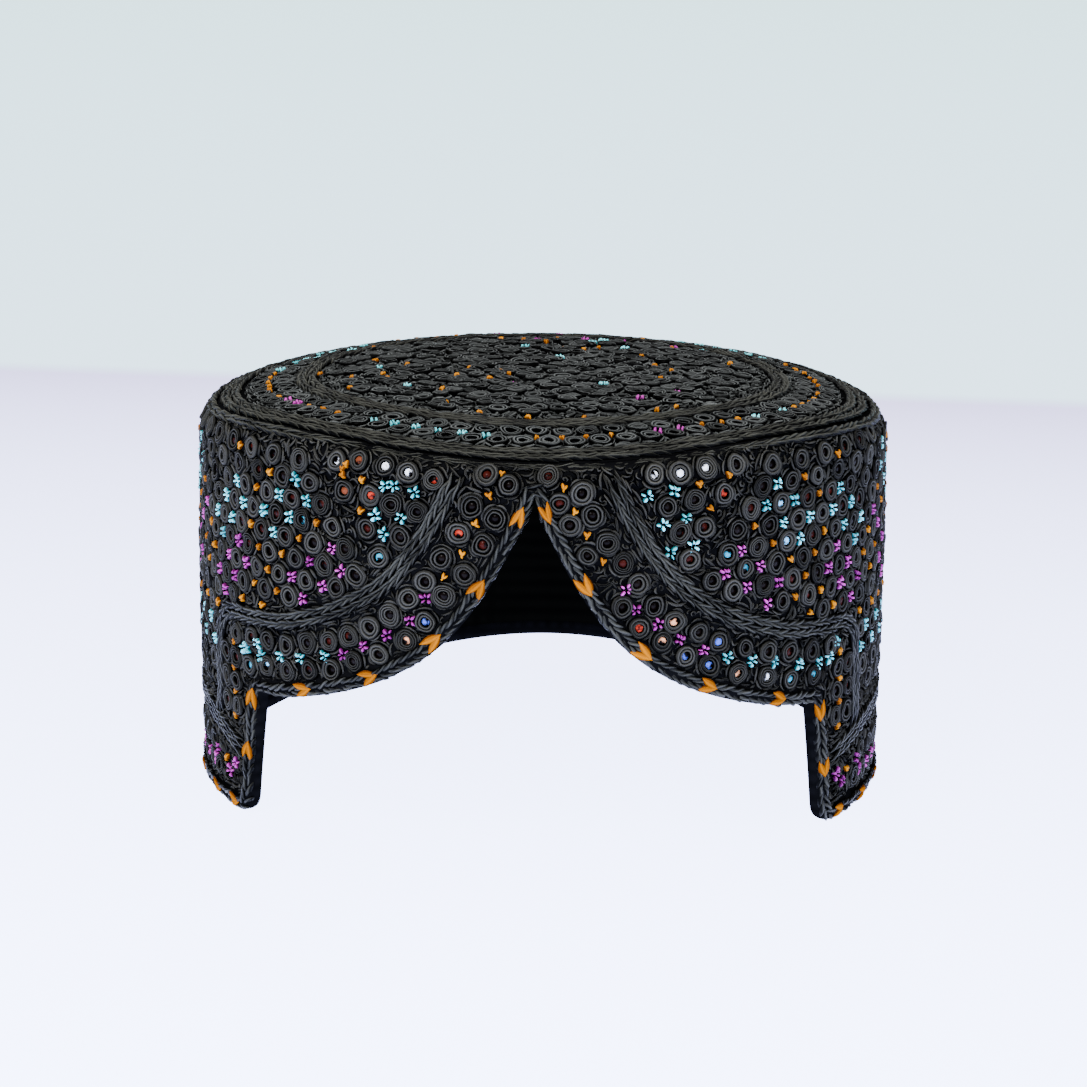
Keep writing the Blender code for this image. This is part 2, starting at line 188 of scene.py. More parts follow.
archPath = [
    (0.9, 97.7), (3.0, 90.3), (5.6, 84.0), (8.6, 78.2), (12.0, 72.6), (16.4, 66.2), (22.2, 59.4),
    (30.0, 52.9), (39.0, 47.6), (48.0, 43.7), (58.0, 40.4), (69.0, 37.6), (77.0, 36.2), (82.0, 35.7),
]
panelBraidPath = [
    (21.0, 99.0), (27.5, 87.0), (38.0, 73.8), (53.0, 64.2), (70.0, 58.2), (85.0, 56.0),
    (97.0, 55.0), (103.0, 51.5), (105.3, 44.0), (106.0, 36.0), (107.0, 27.8),
]
hemBraidPath = [
    (96.6, 19.0), (106.0, 21.6), (116.0, 23.6), (130.0, 25.2), (150.0, 25.8), (186.0, 25.8),
    (240.0, 28.2), (298.45, 30.0),
]
outlineForm = {"apex": 98.6, "apexRadius": 0.9, "step": (83.2, 35.7), "stepRadius": 1.2,
               "foot": 88.9, "tipRadius": 6.5, "flapEnd": 186.0, "backHem": 9.9}


def smoothPath(path, step):
    # even stations with their running direction along a smooth curve
    points = np.array(path, float)
    ends = np.vstack([points[0] * 2 - points[1], points, points[-1] * 2 - points[-2]])
    fine = []
    for i in range(len(points) - 1):
        a, b, c, d = ends[i:i + 4]
        for k in range(10):
            t = k / 10
            fine.append(0.5 * (2 * b + (c - a) * t + (2 * a - 5 * b + 4 * c - d) * t * t
                               + (3 * b - a - 3 * c + d) * t ** 3))
    fine.append(points[-1])
    return evenLine(np.array(fine), step)


def evenLine(line, step):
    lengths = np.concatenate(([0.0], np.cumsum(np.hypot(*np.diff(line, axis=0).T))))
    count = max(2, round(lengths[-1] / step))
    want = np.linspace(0.0, lengths[-1], count + 1)
    spots = np.stack([np.interp(want, lengths, line[:, 0]), np.interp(want, lengths, line[:, 1])], -1)
    along = np.gradient(spots, axis=0)
    return spots, along / np.linalg.norm(along, axis=1)[:, None]


def halfOutline():
    # lower edge of the right half from the apex of the arch to the back middle
    form = outlineForm
    line = [(0.0, form["apex"])]
    for degrees in (65, 40):
        a = math.radians(degrees)
        line.append((form["apexRadius"] * math.cos(a),
                     form["apex"] - form["apexRadius"] * (1 - math.sin(a))))
    line += smoothPath(archPath, 2.0)[0].tolist()
    foot = (form["step"][0], form["step"][1] - form["stepRadius"])
    down = np.array((form["foot"] - form["step"][0], -(form["step"][1] - form["tipRadius"])))
    down /= np.linalg.norm(down)
    turn = math.atan2(-down[1], down[0])
    line += [(foot[0] - form["stepRadius"] + form["stepRadius"] * math.sin(turn * k / 4),
              foot[1] + form["stepRadius"] * math.cos(turn * k / 4)) for k in range(5)]
    start = np.array(line[-1])
    n = np.array((-down[1], down[0]))
    run = (start[1] - form["tipRadius"] * (1 - n[1])) / -down[1]
    line += [tuple(start + down * run * k / 12) for k in range(1, 13)]
    centre = start + down * run + n * form["tipRadius"]
    first = math.atan2(n[0], n[1])
    line += [(centre[0] - form["tipRadius"] * math.sin(first * (1 - k / 6)),
              centre[1] - form["tipRadius"] * math.cos(first * (1 - k / 6))) for k in range(1, 7)]
    hem = np.arange(line[-1][0] + 4.0, halfRound, 4.0)
    share = np.clip((hem - form["flapEnd"]) / (halfRound - form["flapEnd"]), 0, 1)
    line += list(zip(hem, form["backHem"] * share ** 2 * (3 - 2 * share)))
    line.append((halfRound, form["backHem"]))
    return np.array(line)


outlineRight = halfOutline()
outlineWhole = np.vstack([outlineRight[::-1] * (-1, 1), outlineRight[1:]])
outlineStep = 1.2
outlineSpots, outlineAlong = evenLine(outlineWhole, outlineStep)
outlineInto = np.stack([-outlineAlong[:, 1], outlineAlong[:, 0]], -1)
apexGap = np.abs(np.arange(len(outlineSpots)) - (len(outlineSpots) - 1) / 2) * outlineStep
taper = np.clip(apexGap / shell["bindTaper"], 0, 1)
outlineWidth = (shell["bindWidthAtApex"]
                + (shell["bindWidth"] - shell["bindWidthAtApex"]) * taper ** 2 * (3 - 2 * taper))


def mirrored(spots):
    return spots[::-1] * (-1, 1)


panelLine = smoothPath(panelBraidPath, 1.2)[0]
hemLine = smoothPath(hemBraidPath, 1.2)[0]
hemWhole = np.vstack([hemLine, (hemLine * (-1, 1) + (2 * halfRound, 0))[::-1][1:]])
backSeamLine = np.array([(halfRound, z) for z in np.arange(34.4, 98.6, 1.2)])

# Materials


def linear(hexColor):
    values = [int(hexColor[i:i + 2], 16) / 255 for i in (1, 3, 5)]
    return tuple(v / 12.92 if v <= 0.04045 else ((v + 0.055) / 1.055) ** 2.4 for v in values) + (1.0,)


def addNode(tree, kind, inputs=None, **settings):
    # an input takes a value, a socket, a node (its first output) or a list of these
    node = tree.nodes.new(kind)
    for key, value in settings.items():
        setattr(node, key, value)
    for key, value in (inputs or {}).items():
        for one in (value if isinstance(value, list) else [value]):
            if isinstance(one, bpy.types.Node):
                one = one.outputs[0]
            if isinstance(one, bpy.types.NodeSocket):
                tree.links.new(one, node.inputs[key])
            else:
                node.inputs[key].default_value = one
    return node


def newMaterial(name, shaderValues):
    made = bpy.data.materials.new(name)
    made.use_nodes = True
    shader = made.node_tree.nodes["Principled BSDF"]
    for key, value in shaderValues.items():
        shader.inputs[key].default_value = value
    return made, made.node_tree, shader


def threadMaterial(name, look):
    # laid thread: fine lines along each stitch, painted shade dark at its foot and a painted
    # highlight on its top, a shade from stitch to stitch and a fuzz, all read from attributes of the stitch
    # itself
    made, tree, shader = newMaterial(name, {
        "Roughness": look["roughness"], "IOR": 1.5, "Specular IOR Level": look["specular"]})
    shade = addNode(tree, "ShaderNodeAttribute", attribute_name="shade")
    along = addNode(tree, "ShaderNodeAttribute", attribute_name="along")
    around = addNode(tree, "ShaderNodeAttribute", attribute_name="around")
    place = addNode(tree, "ShaderNodeTexCoord")
    fuzz = addNode(tree, "ShaderNodeTexNoise", {
        "Vector": place.outputs["Object"], "Scale": 1400.0, "Detail": 2.0})
    cloud = addNode(tree, "ShaderNodeTexNoise", {
        "Vector": place.outputs["Object"], "Scale": 160.0, "Detail": 2.0})
    turn = addNode(tree, "ShaderNodeMath", {
        0: along.outputs["Fac"], 1: look["swirl"], 2: cloud.outputs["Fac"]}, operation="MULTIPLY_ADD")
    turn = addNode(tree, "ShaderNodeMath", {
        0: around.outputs["Fac"], 1: look["lines"], 2: turn}, operation="MULTIPLY_ADD")
    angle = addNode(tree, "ShaderNodeMath", {0: turn, 1: 2 * math.pi}, operation="MULTIPLY")
    wave = addNode(tree, "ShaderNodeMath", {0: angle}, operation="SINE")
    ply = addNode(tree, "ShaderNodeMapRange", {"Value": wave, "From Min": -1.0, "From Max": 0.6})
    # painted shade: the colour is lightest on the top of the thread's section and darkens to its foot on both
    # sides
    across = addNode(tree, "ShaderNodeMath", {0: around.outputs["Fac"], 1: math.pi}, operation="MULTIPLY")
    paintedCrestShade = addNode(tree, "ShaderNodeMath", {0: across}, operation="SINE")
    paintedCrestShade = addNode(tree, "ShaderNodeMath", {0: paintedCrestShade, 1: look["paintedCrestShade"]}, operation="POWER")
    tone = addNode(tree, "ShaderNodeMath", {
        0: ply, 1: look["plyTone"], 2: shade.outputs["Fac"]}, operation="MULTIPLY_ADD")
    tone = addNode(tree, "ShaderNodeMath", {
        0: fuzz.outputs["Fac"], 1: 0.5, 2: tone}, operation="MULTIPLY_ADD")
    tone = addNode(tree, "ShaderNodeMath", {0: paintedCrestShade, 1: tone}, operation="MULTIPLY")
    share = addNode(tree, "ShaderNodeMapRange", {
        "Value": tone, "From Min": 0.35, "From Max": 1.15 + look["plyTone"]})
    color = addNode(tree, "ShaderNodeMix", {
        "Factor": share, "A": linear(look["dark"]), "B": linear(look["light"])}, data_type="RGBA")
    bump = addNode(tree, "ShaderNodeBump", {"Strength": look["bump"], "Distance": 0.00015, "Height": ply})
    fine = addNode(tree, "ShaderNodeBump", {
        "Strength": 0.25, "Distance": 0.00006, "Height": fuzz.outputs["Fac"], "Normal": bump})
    tree.links.new(color.outputs["Result"], shader.inputs["Base Color"])
    tree.links.new(fine.outputs[0], shader.inputs["Normal"])
    return made


def clothMaterial(name, look):
    # plain weave on Object coordinates: threads crossing at the given spacing
    made, tree, shader = newMaterial(name, {
        "Roughness": look["roughness"], "IOR": 1.5, "Specular IOR Level": 0.0})
    place = addNode(tree, "ShaderNodeTexCoord")
    scale = 1.0 / (look["threadSpacing"] * mm)
    wraps = []
    for axis in ("X", "Y", "Z"):
        wave = addNode(tree, "ShaderNodeTexWave", {
            "Vector": place.outputs["Object"], "Scale": scale / 20, "Distortion": 0.6,
            "Detail": 1.0}, bands_direction=axis)
        wraps.append(wave.outputs["Fac"])
    first = addNode(tree, "ShaderNodeMath", {0: wraps[0], 1: wraps[1]}, operation="MAXIMUM")
    weave = addNode(tree, "ShaderNodeMath", {0: first, 1: wraps[2]}, operation="MULTIPLY")
    cloud = addNode(tree, "ShaderNodeTexNoise", {
        "Vector": place.outputs["Object"], "Scale": 60.0, "Detail": 3.0})
    tone = addNode(tree, "ShaderNodeMath", {
        0: weave, 1: 0.6, 2: cloud.outputs["Fac"]}, operation="MULTIPLY_ADD")
    color = addNode(tree, "ShaderNodeMix", {
        "Factor": tone, "A": linear(look["dark"]), "B": linear(look["light"])}, data_type="RGBA")
    bump = addNode(tree, "ShaderNodeBump", {"Strength": 0.4, "Distance": 0.0001, "Height": weave})
    tree.links.new(color.outputs["Result"], shader.inputs["Base Color"])
    tree.links.new(bump.outputs[0], shader.inputs["Normal"])
    return made


# mercerised cotton thread, hand couched: charcoal black, nearly matt from its fuzz
blackThread = threadMaterial("mercerised black cotton thread", {
    "dark": "#010101", "light": "#373631", "roughness": 0.5, "specular": 0.01, "bump": 0.7, "paintedCrestShade": 1.6,
    "plyTone": 0.7, "lines": 2.0, "swirl": 0.2})
# the same thread on the crown as a lighter copy with a narrower lit top: painted highlight for the light from
# above that glances off it more
crownThreadPaintedLight = threadMaterial("mercerised black cotton crown thread with painted highlight", {
    "dark": "#000000", "light": "#4e504f", "roughness": 0.45, "specular": 0.01, "bump": 1.0, "paintedCrestShade": 4.0,
    "plyTone": 0.9, "lines": 2.0, "swirl": 0.2})
# the same thread laid in braids and binding, a little smoother and darker
braidThread = threadMaterial("plaited black cotton braid", {
    "dark": "#010101", "light": "#32322d", "roughness": 0.42, "specular": 0.02, "bump": 0.7, "paintedCrestShade": 2.6,
    "plyTone": 0.7, "lines": 2.0, "swirl": 0.25})
# floss silk: untwisted shiny fibre, so the colour is bright and the gloss soft
orangeSilk = threadMaterial("marigold floss silk", {
    "dark": "#5e2e02", "light": "#b27204", "roughness": 0.5, "specular": 0.02, "bump": 0.4, "paintedCrestShade": 1.4,
    "plyTone": 0.6, "lines": 2.5, "swirl": 0.2})
# the same silk in the broad flat chevrons as a darker copy: painted shade that offsets the whole light they
# catch
chevronSilkPaintedShade = threadMaterial("marigold satin stitch silk", {
    "dark": "#522802", "light": "#905403", "roughness": 0.6, "specular": 0.0, "bump": 0.3, "paintedCrestShade": 1.4,
    "plyTone": 0.5, "lines": 3.0, "swirl": 0.1})
cyanSilk = threadMaterial("turquoise floss silk", {
    "dark": "#0a6a70", "light": "#7fdde4", "roughness": 0.45, "specular": 0.1, "bump": 0.4, "paintedCrestShade": 1.4,
    "plyTone": 0.5, "lines": 2.5, "swirl": 0.2})
magentaSilk = threadMaterial("orchid floss silk", {
    "dark": "#500848", "light": "#b83aa4", "roughness": 0.45, "specular": 0.03, "bump": 0.4, "paintedCrestShade": 1.4,
    "plyTone": 0.5, "lines": 2.5, "swirl": 0.2})
# black cotton twill under the stitches, dull and nearly hidden
groundCloth = clothMaterial("black cotton ground cloth", {
    "dark": "#020202", "light": "#070708", "roughness": 0.9, "threadSpacing": 0.6})
# plain cotton lining: matt, black, only a faint weave
liningCloth = clothMaterial("plain black lining cotton cloth", {
    "dark": "#010101", "light": "#040403", "roughness": 0.95, "threadSpacing": 0.7})


def chipMaterial():
    # silvered glass chip with no mirror of its own: its colour is painted, near black as painted shade in its
    # hole, and its tint, where a noise patch shows it, is a painted reflection
    made, tree, shader = newMaterial("silvered glass chip", {
        "Roughness": 0.3, "Metallic": 0.0, "IOR": 1.5, "Specular IOR Level": 0.03})
    tint = addNode(tree, "ShaderNodeAttribute", attribute_name="tint")
    place = addNode(tree, "ShaderNodeTexCoord")
    cloud = addNode(tree, "ShaderNodeTexNoise", {
        "Vector": place.outputs["Object"], "Scale": 520.0, "Detail": 2.0})
    reflectionPatch = addNode(tree, "ShaderNodeMapRange", {
        "Value": cloud.outputs["Fac"], "From Min": 0.44, "From Max": 0.56})
    color = addNode(tree, "ShaderNodeMix", {
        "Factor": reflectionPatch, "A": linear("#030101"), "B": tint.outputs["Color"]}, data_type="RGBA")
    tree.links.new(color.outputs["Result"], shader.inputs["Base Color"])
    return made


mirrorGlass = chipMaterial()
print("materials made")

# Geometry Nodes: shapes of a single stitch


def newTree(name, labels):
    tree = bpy.data.node_groups.new(name, "GeometryNodeTree")
    tree.interface.new_socket("Geometry", in_out="INPUT", socket_type="NodeSocketGeometry")
    for label, value in labels.items():
        kind = "NodeSocketInt" if isinstance(value, int) else "NodeSocketFloat"
        tree.interface.new_socket(label, in_out="INPUT", socket_type=kind).default_value = value
    tree.interface.new_socket("Geometry", in_out="OUTPUT", socket_type="NodeSocketGeometry")
    start = tree.nodes.new("NodeGroupInput")
    return tree, start.outputs


def threadSection(tree, width, height, corners=4):
    # half round section, flat side down, with its place round the thread stored
    arc = addNode(tree, "GeometryNodeCurveArc", {
        "Resolution": corners, "Radius": 1.0, "Start Angle": math.pi, "Sweep Angle": math.pi}, mode="RADIUS")
    place = addNode(tree, "GeometryNodeSplineParameter")
    named = addNode(tree, "GeometryNodeStoreNamedAttribute", {
        "Geometry": arc.outputs["Curve"], "Name": "around",
        "Value": place.outputs["Factor"]}, data_type="FLOAT", domain="POINT")
    closed = addNode(tree, "GeometryNodeSetSplineCyclic", {"Geometry": named, "Cyclic": True})
    half = addNode(tree, "ShaderNodeMath", {0: width, 1: 0.5}, operation="MULTIPLY")
    size = addNode(tree, "ShaderNodeCombineXYZ", {"X": half, "Y": height, "Z": 1.0})
    sized = addNode(tree, "GeometryNodeTransform", {"Geometry": closed, "Scale": size})
    return sized.outputs[0]


def threadShape(tree, line, width, height, twists, tip, fullness=0.5, corners=4):
    # sweeps the section along a line, thinner at both ends
    place = addNode(tree, "GeometryNodeSplineParameter")
    turns = addNode(tree, "ShaderNodeMath", {0: place.outputs["Factor"], 1: twists}, operation="MULTIPLY")
    named = addNode(tree, "GeometryNodeStoreNamedAttribute", {
        "Geometry": line, "Name": "along", "Value": turns}, data_type="FLOAT", domain="POINT")
    angle = addNode(tree, "ShaderNodeMath", {0: place.outputs["Factor"], 1: math.pi}, operation="MULTIPLY")
    arch = addNode(tree, "ShaderNodeMath", {0: angle}, operation="SINE")
    arch = addNode(tree, "ShaderNodeMath", {0: arch, 1: 0.0}, operation="MAXIMUM")
    full = addNode(tree, "ShaderNodeMath", {0: arch, 1: fullness}, operation="POWER")
    radius = addNode(tree, "ShaderNodeMapRange", {"Value": full, "To Min": tip, "To Max": 1.0})
    thinned = addNode(tree, "GeometryNodeSetCurveRadius", {"Curve": named, "Radius": radius})
    swept = addNode(tree, "GeometryNodeCurveToMesh", {
        "Curve": thinned, "Profile Curve": threadSection(tree, width, height, corners), "Fill Caps": True})
    if "Scale" in swept.inputs:
        tree.links.new(addNode(tree, "GeometryNodeInputRadius").outputs[0], swept.inputs["Scale"])
    return swept.outputs[0]


def coilShape(tree, radius, width, height):
    # one closed turn of thread
    circle = addNode(tree, "GeometryNodeCurvePrimitiveCircle", {
        "Resolution": 14, "Radius": radius}, mode="RADIUS")
    return addNode(tree, "GeometryNodeCurveToMesh", {
        "Curve": circle, "Profile Curve": threadSection(tree, width, height)}).outputs[0]


def stitchLine(tree, length, bend, steps):
    # a short line along X, bowed sideways by bend
    back = addNode(tree, "ShaderNodeMath", {0: length, 1: -0.5}, operation="MULTIPLY")
    ahead = addNode(tree, "ShaderNodeMath", {0: length, 1: 0.5}, operation="MULTIPLY")
    start = addNode(tree, "ShaderNodeCombineXYZ", {"X": back})
    middle = addNode(tree, "ShaderNodeCombineXYZ", {"Y": bend})
    end = addNode(tree, "ShaderNodeCombineXYZ", {"X": ahead})
    line = addNode(tree, "GeometryNodeCurveQuadraticBezier", {
        "Resolution": steps, "Start": start, "Middle": middle, "End": end})
    return line.outputs[0]


def plantStitches(tree, points, shapes):
    # one shape on each point, turned by the point's own attributes
    facing = addNode(tree, "GeometryNodeInputNamedAttribute", {"Name": "facing"}, data_type="FLOAT_VECTOR")
    heading = addNode(tree, "GeometryNodeInputNamedAttribute", {"Name": "heading"}, data_type="FLOAT_VECTOR")
    size = addNode(tree, "GeometryNodeInputNamedAttribute", {"Name": "size"}, data_type="FLOAT_VECTOR")
    variant = addNode(tree, "GeometryNodeInputNamedAttribute", {"Name": "variant"}, data_type="INT")
    upright = addNode(tree, "FunctionNodeAlignRotationToVector", {"Vector": facing}, axis="Z")
    turned = addNode(tree, "FunctionNodeAlignRotationToVector", {
        "Rotation": upright, "Vector": heading}, axis="X", pivot_axis="Z")
    choices = addNode(tree, "GeometryNodeGeometryToInstance", {"Geometry": shapes[::-1]})
    return addNode(tree, "GeometryNodeInstanceOnPoints", {
        "Points": points, "Instance": choices, "Pick Instance": True, "Instance Index": variant,
        "Rotation": turned, "Scale": size}).outputs[0]


def endTree(tree, geometry, finish, unevenness=0.0):
    # hand work: every spot is pushed a little by a soft noise, then the finish is set
    real = addNode(tree, "GeometryNodeRealizeInstances", {"Geometry": geometry})
    here = addNode(tree, "GeometryNodeInputPosition")
    noise = addNode(tree, "ShaderNodeTexNoise", {"Vector": here, "Scale": 320.0, "Detail": 0.0})
    centred = addNode(tree, "ShaderNodeVectorMath", {
        0: noise.outputs["Color"], 1: (0.5, 0.5, 0.5)}, operation="SUBTRACT")
    push = addNode(tree, "ShaderNodeVectorMath", {0: centred, "Scale": unevenness}, operation="SCALE")
    moved = addNode(tree, "GeometryNodeSetPosition", {"Geometry": real, "Offset": push})
    smooth = addNode(tree, "GeometryNodeSetShadeSmooth", {"Geometry": moved})
    coated = addNode(tree, "GeometryNodeSetMaterial", {"Geometry": smooth, "Material": finish})
    tree.links.new(coated.outputs[0], tree.nodes.new("NodeGroupOutput").inputs[0])
    return tree


pieceCounts = {}
floorGap = 0.05 * mm  # nothing sinks into the table


def carrierOf(name, spots, edges):
    # a mesh of bare points that holds each value of the spots as an attribute
    mesh = bpy.data.meshes.new(name)
    mesh.from_pydata(spots["co"].tolist(), list(edges), [])
    for label, values in spots.items():
        values = np.asarray(values)
        kind, field = ("FLOAT_VECTOR", "vector") if values.ndim == 2 else ("FLOAT", "value")
        if label == "co":
            continue
        if label == "tint":
            kind, field = "FLOAT_COLOR", "color"
        if label == "variant":
            kind = "INT"
        values = values.astype(np.int32 if kind == "INT" else np.float32).ravel()
        mesh.attributes.new(label, kind, "POINT").data.foreach_set(field, values)
    thing = bpy.data.objects.new(name, mesh)
    bpy.context.scene.collection.objects.link(thing)
    return thing


def growPiece(name, spots, tree, values, edges=()):
    # runs the tree once on a carrier of the spots and keeps the plain mesh
    carrier = carrierOf(name, spots, edges)
    modifier = carrier.modifiers.new("grow", "NODES")
    modifier.node_group = tree
    for item in tree.interface.items_tree:
        if item.item_type == "SOCKET" and item.in_out == "INPUT" and item.name in values:
            modifier[item.identifier] = values[item.name]
    graph = bpy.context.evaluated_depsgraph_get()
    mesh = bpy.data.meshes.new_from_object(
        carrier.evaluated_get(graph), preserve_all_data_layers=True, depsgraph=graph)
    carrier.modifiers.clear()
    carrier.data = mesh
    for label in ("facing", "heading", "size", "variant", "sharp_edge", "sharp_face"):
        if label in mesh.attributes:
            mesh.attributes.remove(mesh.attributes[label])
    places = np.empty(len(mesh.vertices) * 3, np.float32)
    mesh.vertices.foreach_get("co", places)
    places[2::3] = np.maximum(places[2::3], floorGap)
    mesh.vertices.foreach_set("co", places)
    mesh.update()
    mesh.name = name
    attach(carrier, "root")
    pieceCounts[name] = sum(len(p.vertices) - 2 for p in mesh.polygons)
    return carrier


def picked(spots, keep):
    return {label: np.asarray(values)[keep] for label, values in spots.items()}


def joined(*groups):
    return {label: np.concatenate([np.asarray(g[label]) for g in groups]) for label in groups[0]}


# Layout of the rings: each is (round, height) on the chart, listed one by one

# and at the sides a slanting lattice of rings that starts where the charted ones end
lattice = {"round": 62.2, "heights": {-1: 96.2, 1: 97.0}, "rowShift": 6.3, "rowDrop": 5.2, "columnGap": 10.1,
           "ringsFrom": (56.0, 46.0), "dotsFrom": (56.0, 50.0), "backSeam": 4.5}
bandRings = {
    -1: [(6.3, 100.6), (9.6, 92.1), (12.7, 85.1), (17.4, 77.3), (22.7, 71.4), (27.5, 64.3), (32.7, 58.9),
         (40.4, 54.3), (47.9, 51.4), (55.0, 48.1), (62.6, 46.6), (70.9, 44.8), (79.3, 44.1), (87.5, 42.4),
         (12.0, 102.9), (15.6, 94.8), (18.9, 87.8), (23.4, 81.0), (27.5, 74.8), (32.1, 69.9), (37.4, 65.1),
         (43.1, 61.2), (49.5, 57.8), (55.6, 55.6), (63.2, 53.7), (70.8, 51.6), (78.6, 51.2), (86.3, 50.5)],
    1: [(3.5, 102.9), (6.5, 96.2), (9.1, 90.6), (13.6, 82.8), (17.4, 75.5), (22.6, 69.4), (27.2, 63.6),
        (33.4, 59.8), (39.9, 55.3), (46.7, 52.1), (55.3, 48.9), (65.1, 46.4), (73.7, 44.3), (83.4, 43.4),
        (9.6, 104.6), (12.0, 98.6), (14.7, 93.0), (18.6, 86.0), (22.6, 80.5), (26.6, 75.1), (31.1, 69.1),
        (36.5, 64.6), (43.3, 61.2), (49.4, 58.0), (57.5, 55.5), (65.1, 53.1), (73.0, 51.6), (82.1, 50.1),
        (90.6, 49.8)],
}
upperRings = {
    -1: [(25.6, 100.9), (32.6, 102.2), (39.2, 103.1), (47.0, 103.8), (53.5, 102.9), (50.9, 95.6),
         (42.9, 95.3), (37.0, 93.7), (29.9, 92.6), (43.8, 86.7), (34.5, 85.6), (40.4, 79.6), (50.6, 80.5),
         (47.4, 74.1)],
    1: [(23.7, 100.7), (30.8, 102.7), (37.8, 102.7), (45.0, 103.5), (54.2, 103.5), (65.3, 102.2),
        (27.6, 93.0), (34.2, 94.4), (41.7, 95.7), (50.1, 96.6), (32.1, 86.6), (37.7, 87.6), (44.4, 88.4),
        (40.4, 80.4), (51.6, 80.7), (47.0, 74.2)],
}
# the two rows of rings over the hem and the dots between them, from the flaps to the back
hemRows = {"from": 110.0, "pitch": 7.4, "rows": ((8.6, 0.0), (15.2, 3.7)), "dotFrom": 113.7, "dotHeight": 9.4}
# least gaps round a ring and round a coloured stitch on the wall, in millimetres
ringGaps = {"backSeam": 3.8, "shoulder": 3.6, "line": 2.0, "ring": 5.4}
stitchGaps = {"backSeam": 3.0, "shoulder": 3.0, "line": 0.8, "ring": 2.6}
flapRings = [(s, z) for s in (94.9, 101.0) for z in (49.3, 43.0, 36.4, 29.5)] + [(95.2, 22.6), (92.6, 14.6)]
bandStitches = {
    -1: {"orange": [(8.3, 103.0), (11.4, 97.5), (14.6, 90.4), (18.1, 82.3), (22.9, 76.2)],
         "magenta": [(27.7, 70.5), (31.6, 64.1), (38.1, 59.8), (44.9, 55.9), (51.1, 52.6)],
         "cyan": [(57.4, 51.0), (65.9, 49.0), (73.6, 47.9), (82.0, 46.2), (89.0, 46.6)]},
    1: {"orange": [(7.4, 99.8), (10.1, 93.9), (13.4, 87.8), (17.4, 80.9)],
        "magenta": [(23.5, 73.7), (26.1, 68.5), (32.2, 64.4), (38.1, 60.0), (45.1, 56.4)],
        "cyan": [(52.2, 53.7), (60.1, 51.6), (67.6, 49.8), (76.9, 47.6), (85.7, 46.2)]},
}
upperStitches = {
    -1: {"cyan": [(38.9, 98.2), (36.3, 98.5), (30.7, 97.4), (41.6, 90.3), (34.4, 90.5), (39.2, 85.9)],
         "orange": [(45.5, 98.6), (45.9, 91.0), (51.3, 99.4), (50.4, 102.2)],
         "magenta": [(54.8, 80.1), (51.8, 74.3), (57.5, 69.7)]},
    1: {"cyan": [(29.0, 97.3), (36.1, 98.5), (39.5, 91.0), (33.3, 89.8), (35.3, 82.5), (41.7, 83.8)],
        "orange": [(43.0, 99.3), (51.7, 101.0), (46.3, 92.8)],
        "magenta": [(55.8, 81.2), (50.8, 75.6), (57.7, 71.1)]},
}
edgeStitches = {"orange": [(51.4, 101.0), (77.0, 102.2), (85.0, 101.6), (92.5, 100.4)]
                + [(96.0, z) for z in (46.6, 39.5, 33.1, 26.2, 18.7)]
                + [(104.0, 12.0)],
                "magenta": [(97.4, 12.6), (101.4, 9.6), (111.0, 13.4)],
                "cyan": [(90.6, 46.4)]}
# colour of the stitch right of each lattice ring, by column and row
latticeColors = [
    {0: "cyan", 1: "cyan", 2: "cyan", 3: "orange", 4: "magenta", 5: "magenta", 6: "magenta"},
    {1: "cyan", 2: "cyan", 3: "cyan", 4: "orange", 5: "magenta", 6: "magenta", 7: "magenta"},
    {2: "orange", 3: "orange", 4: "orange", 5: "orange", 6: "orange", 7: "orange"},
    {3: "magenta", 4: "magenta", 5: "magenta", 6: "orange", 7: "orange"},
    {1: "cyan", 2: "cyan", 3: "cyan", 4: "orange", 5: "orange", 6: "magenta", 7: "magenta"},
    {0: "orange", 1: "orange", 2: "cyan", 3: "cyan", 4: "cyan", 5: "orange", 6: "orange"},
]
# colours of the painted reflections in the chips, from near black to white
paintedReflectionTints = {
    "garnet": "#2a0a06", "dark": "#080403", "red": "#9c2c1c", "peach": "#d89468", "white": "#e9ecef",
    "blue": "#3f55a8", "teal": "#2a7f92", "sky": "#79b8d8", "brown": "#5a2c18",
}
# chips with a painted reflection of the light in a bright tint, by side, near these places
paintedGlintChips = {
    -1: {"white": [(39.2, 103.1), (32.6, 102.2), (53.5, 102.9)],
         "red": [(25.6, 100.9), (42.9, 95.3), (18.9, 87.8)],
         "brown": [(47.0, 103.8), (50.9, 95.6)], "blue": [(27.5, 64.3)], "peach": [(32.7, 58.9)],
         "sky": [(79.3, 44.1)], "teal": [(87.5, 42.4), (40.4, 79.6), (64.7, 85.8)]},
    1: {"white": [(30.8, 102.7), (37.8, 102.7), (45.0, 103.5), (65.1, 46.4)],
        "red": [(23.7, 100.7), (50.1, 96.6), (27.2, 63.6)],
        "peach": [(33.4, 59.8), (55.3, 48.9), (36.5, 64.6)],
        "blue": [(39.9, 55.3), (46.7, 52.1), (49.4, 58.0), (59.6, 65.8)],
        "teal": [(73.7, 44.3), (83.4, 43.4), (57.1, 76.2), (51.6, 80.7)],
        "sky": [(68.5, 91.8), (71.0, 81.4)], "brown": [(27.6, 93.0), (32.1, 86.6)]},
}


def nearIndex(points):
    tree = KDTree(len(points))
    for i, point in enumerate(points):
        tree.insert((point[0], point[1], 0.0), i)
    tree.balance()
    return tree


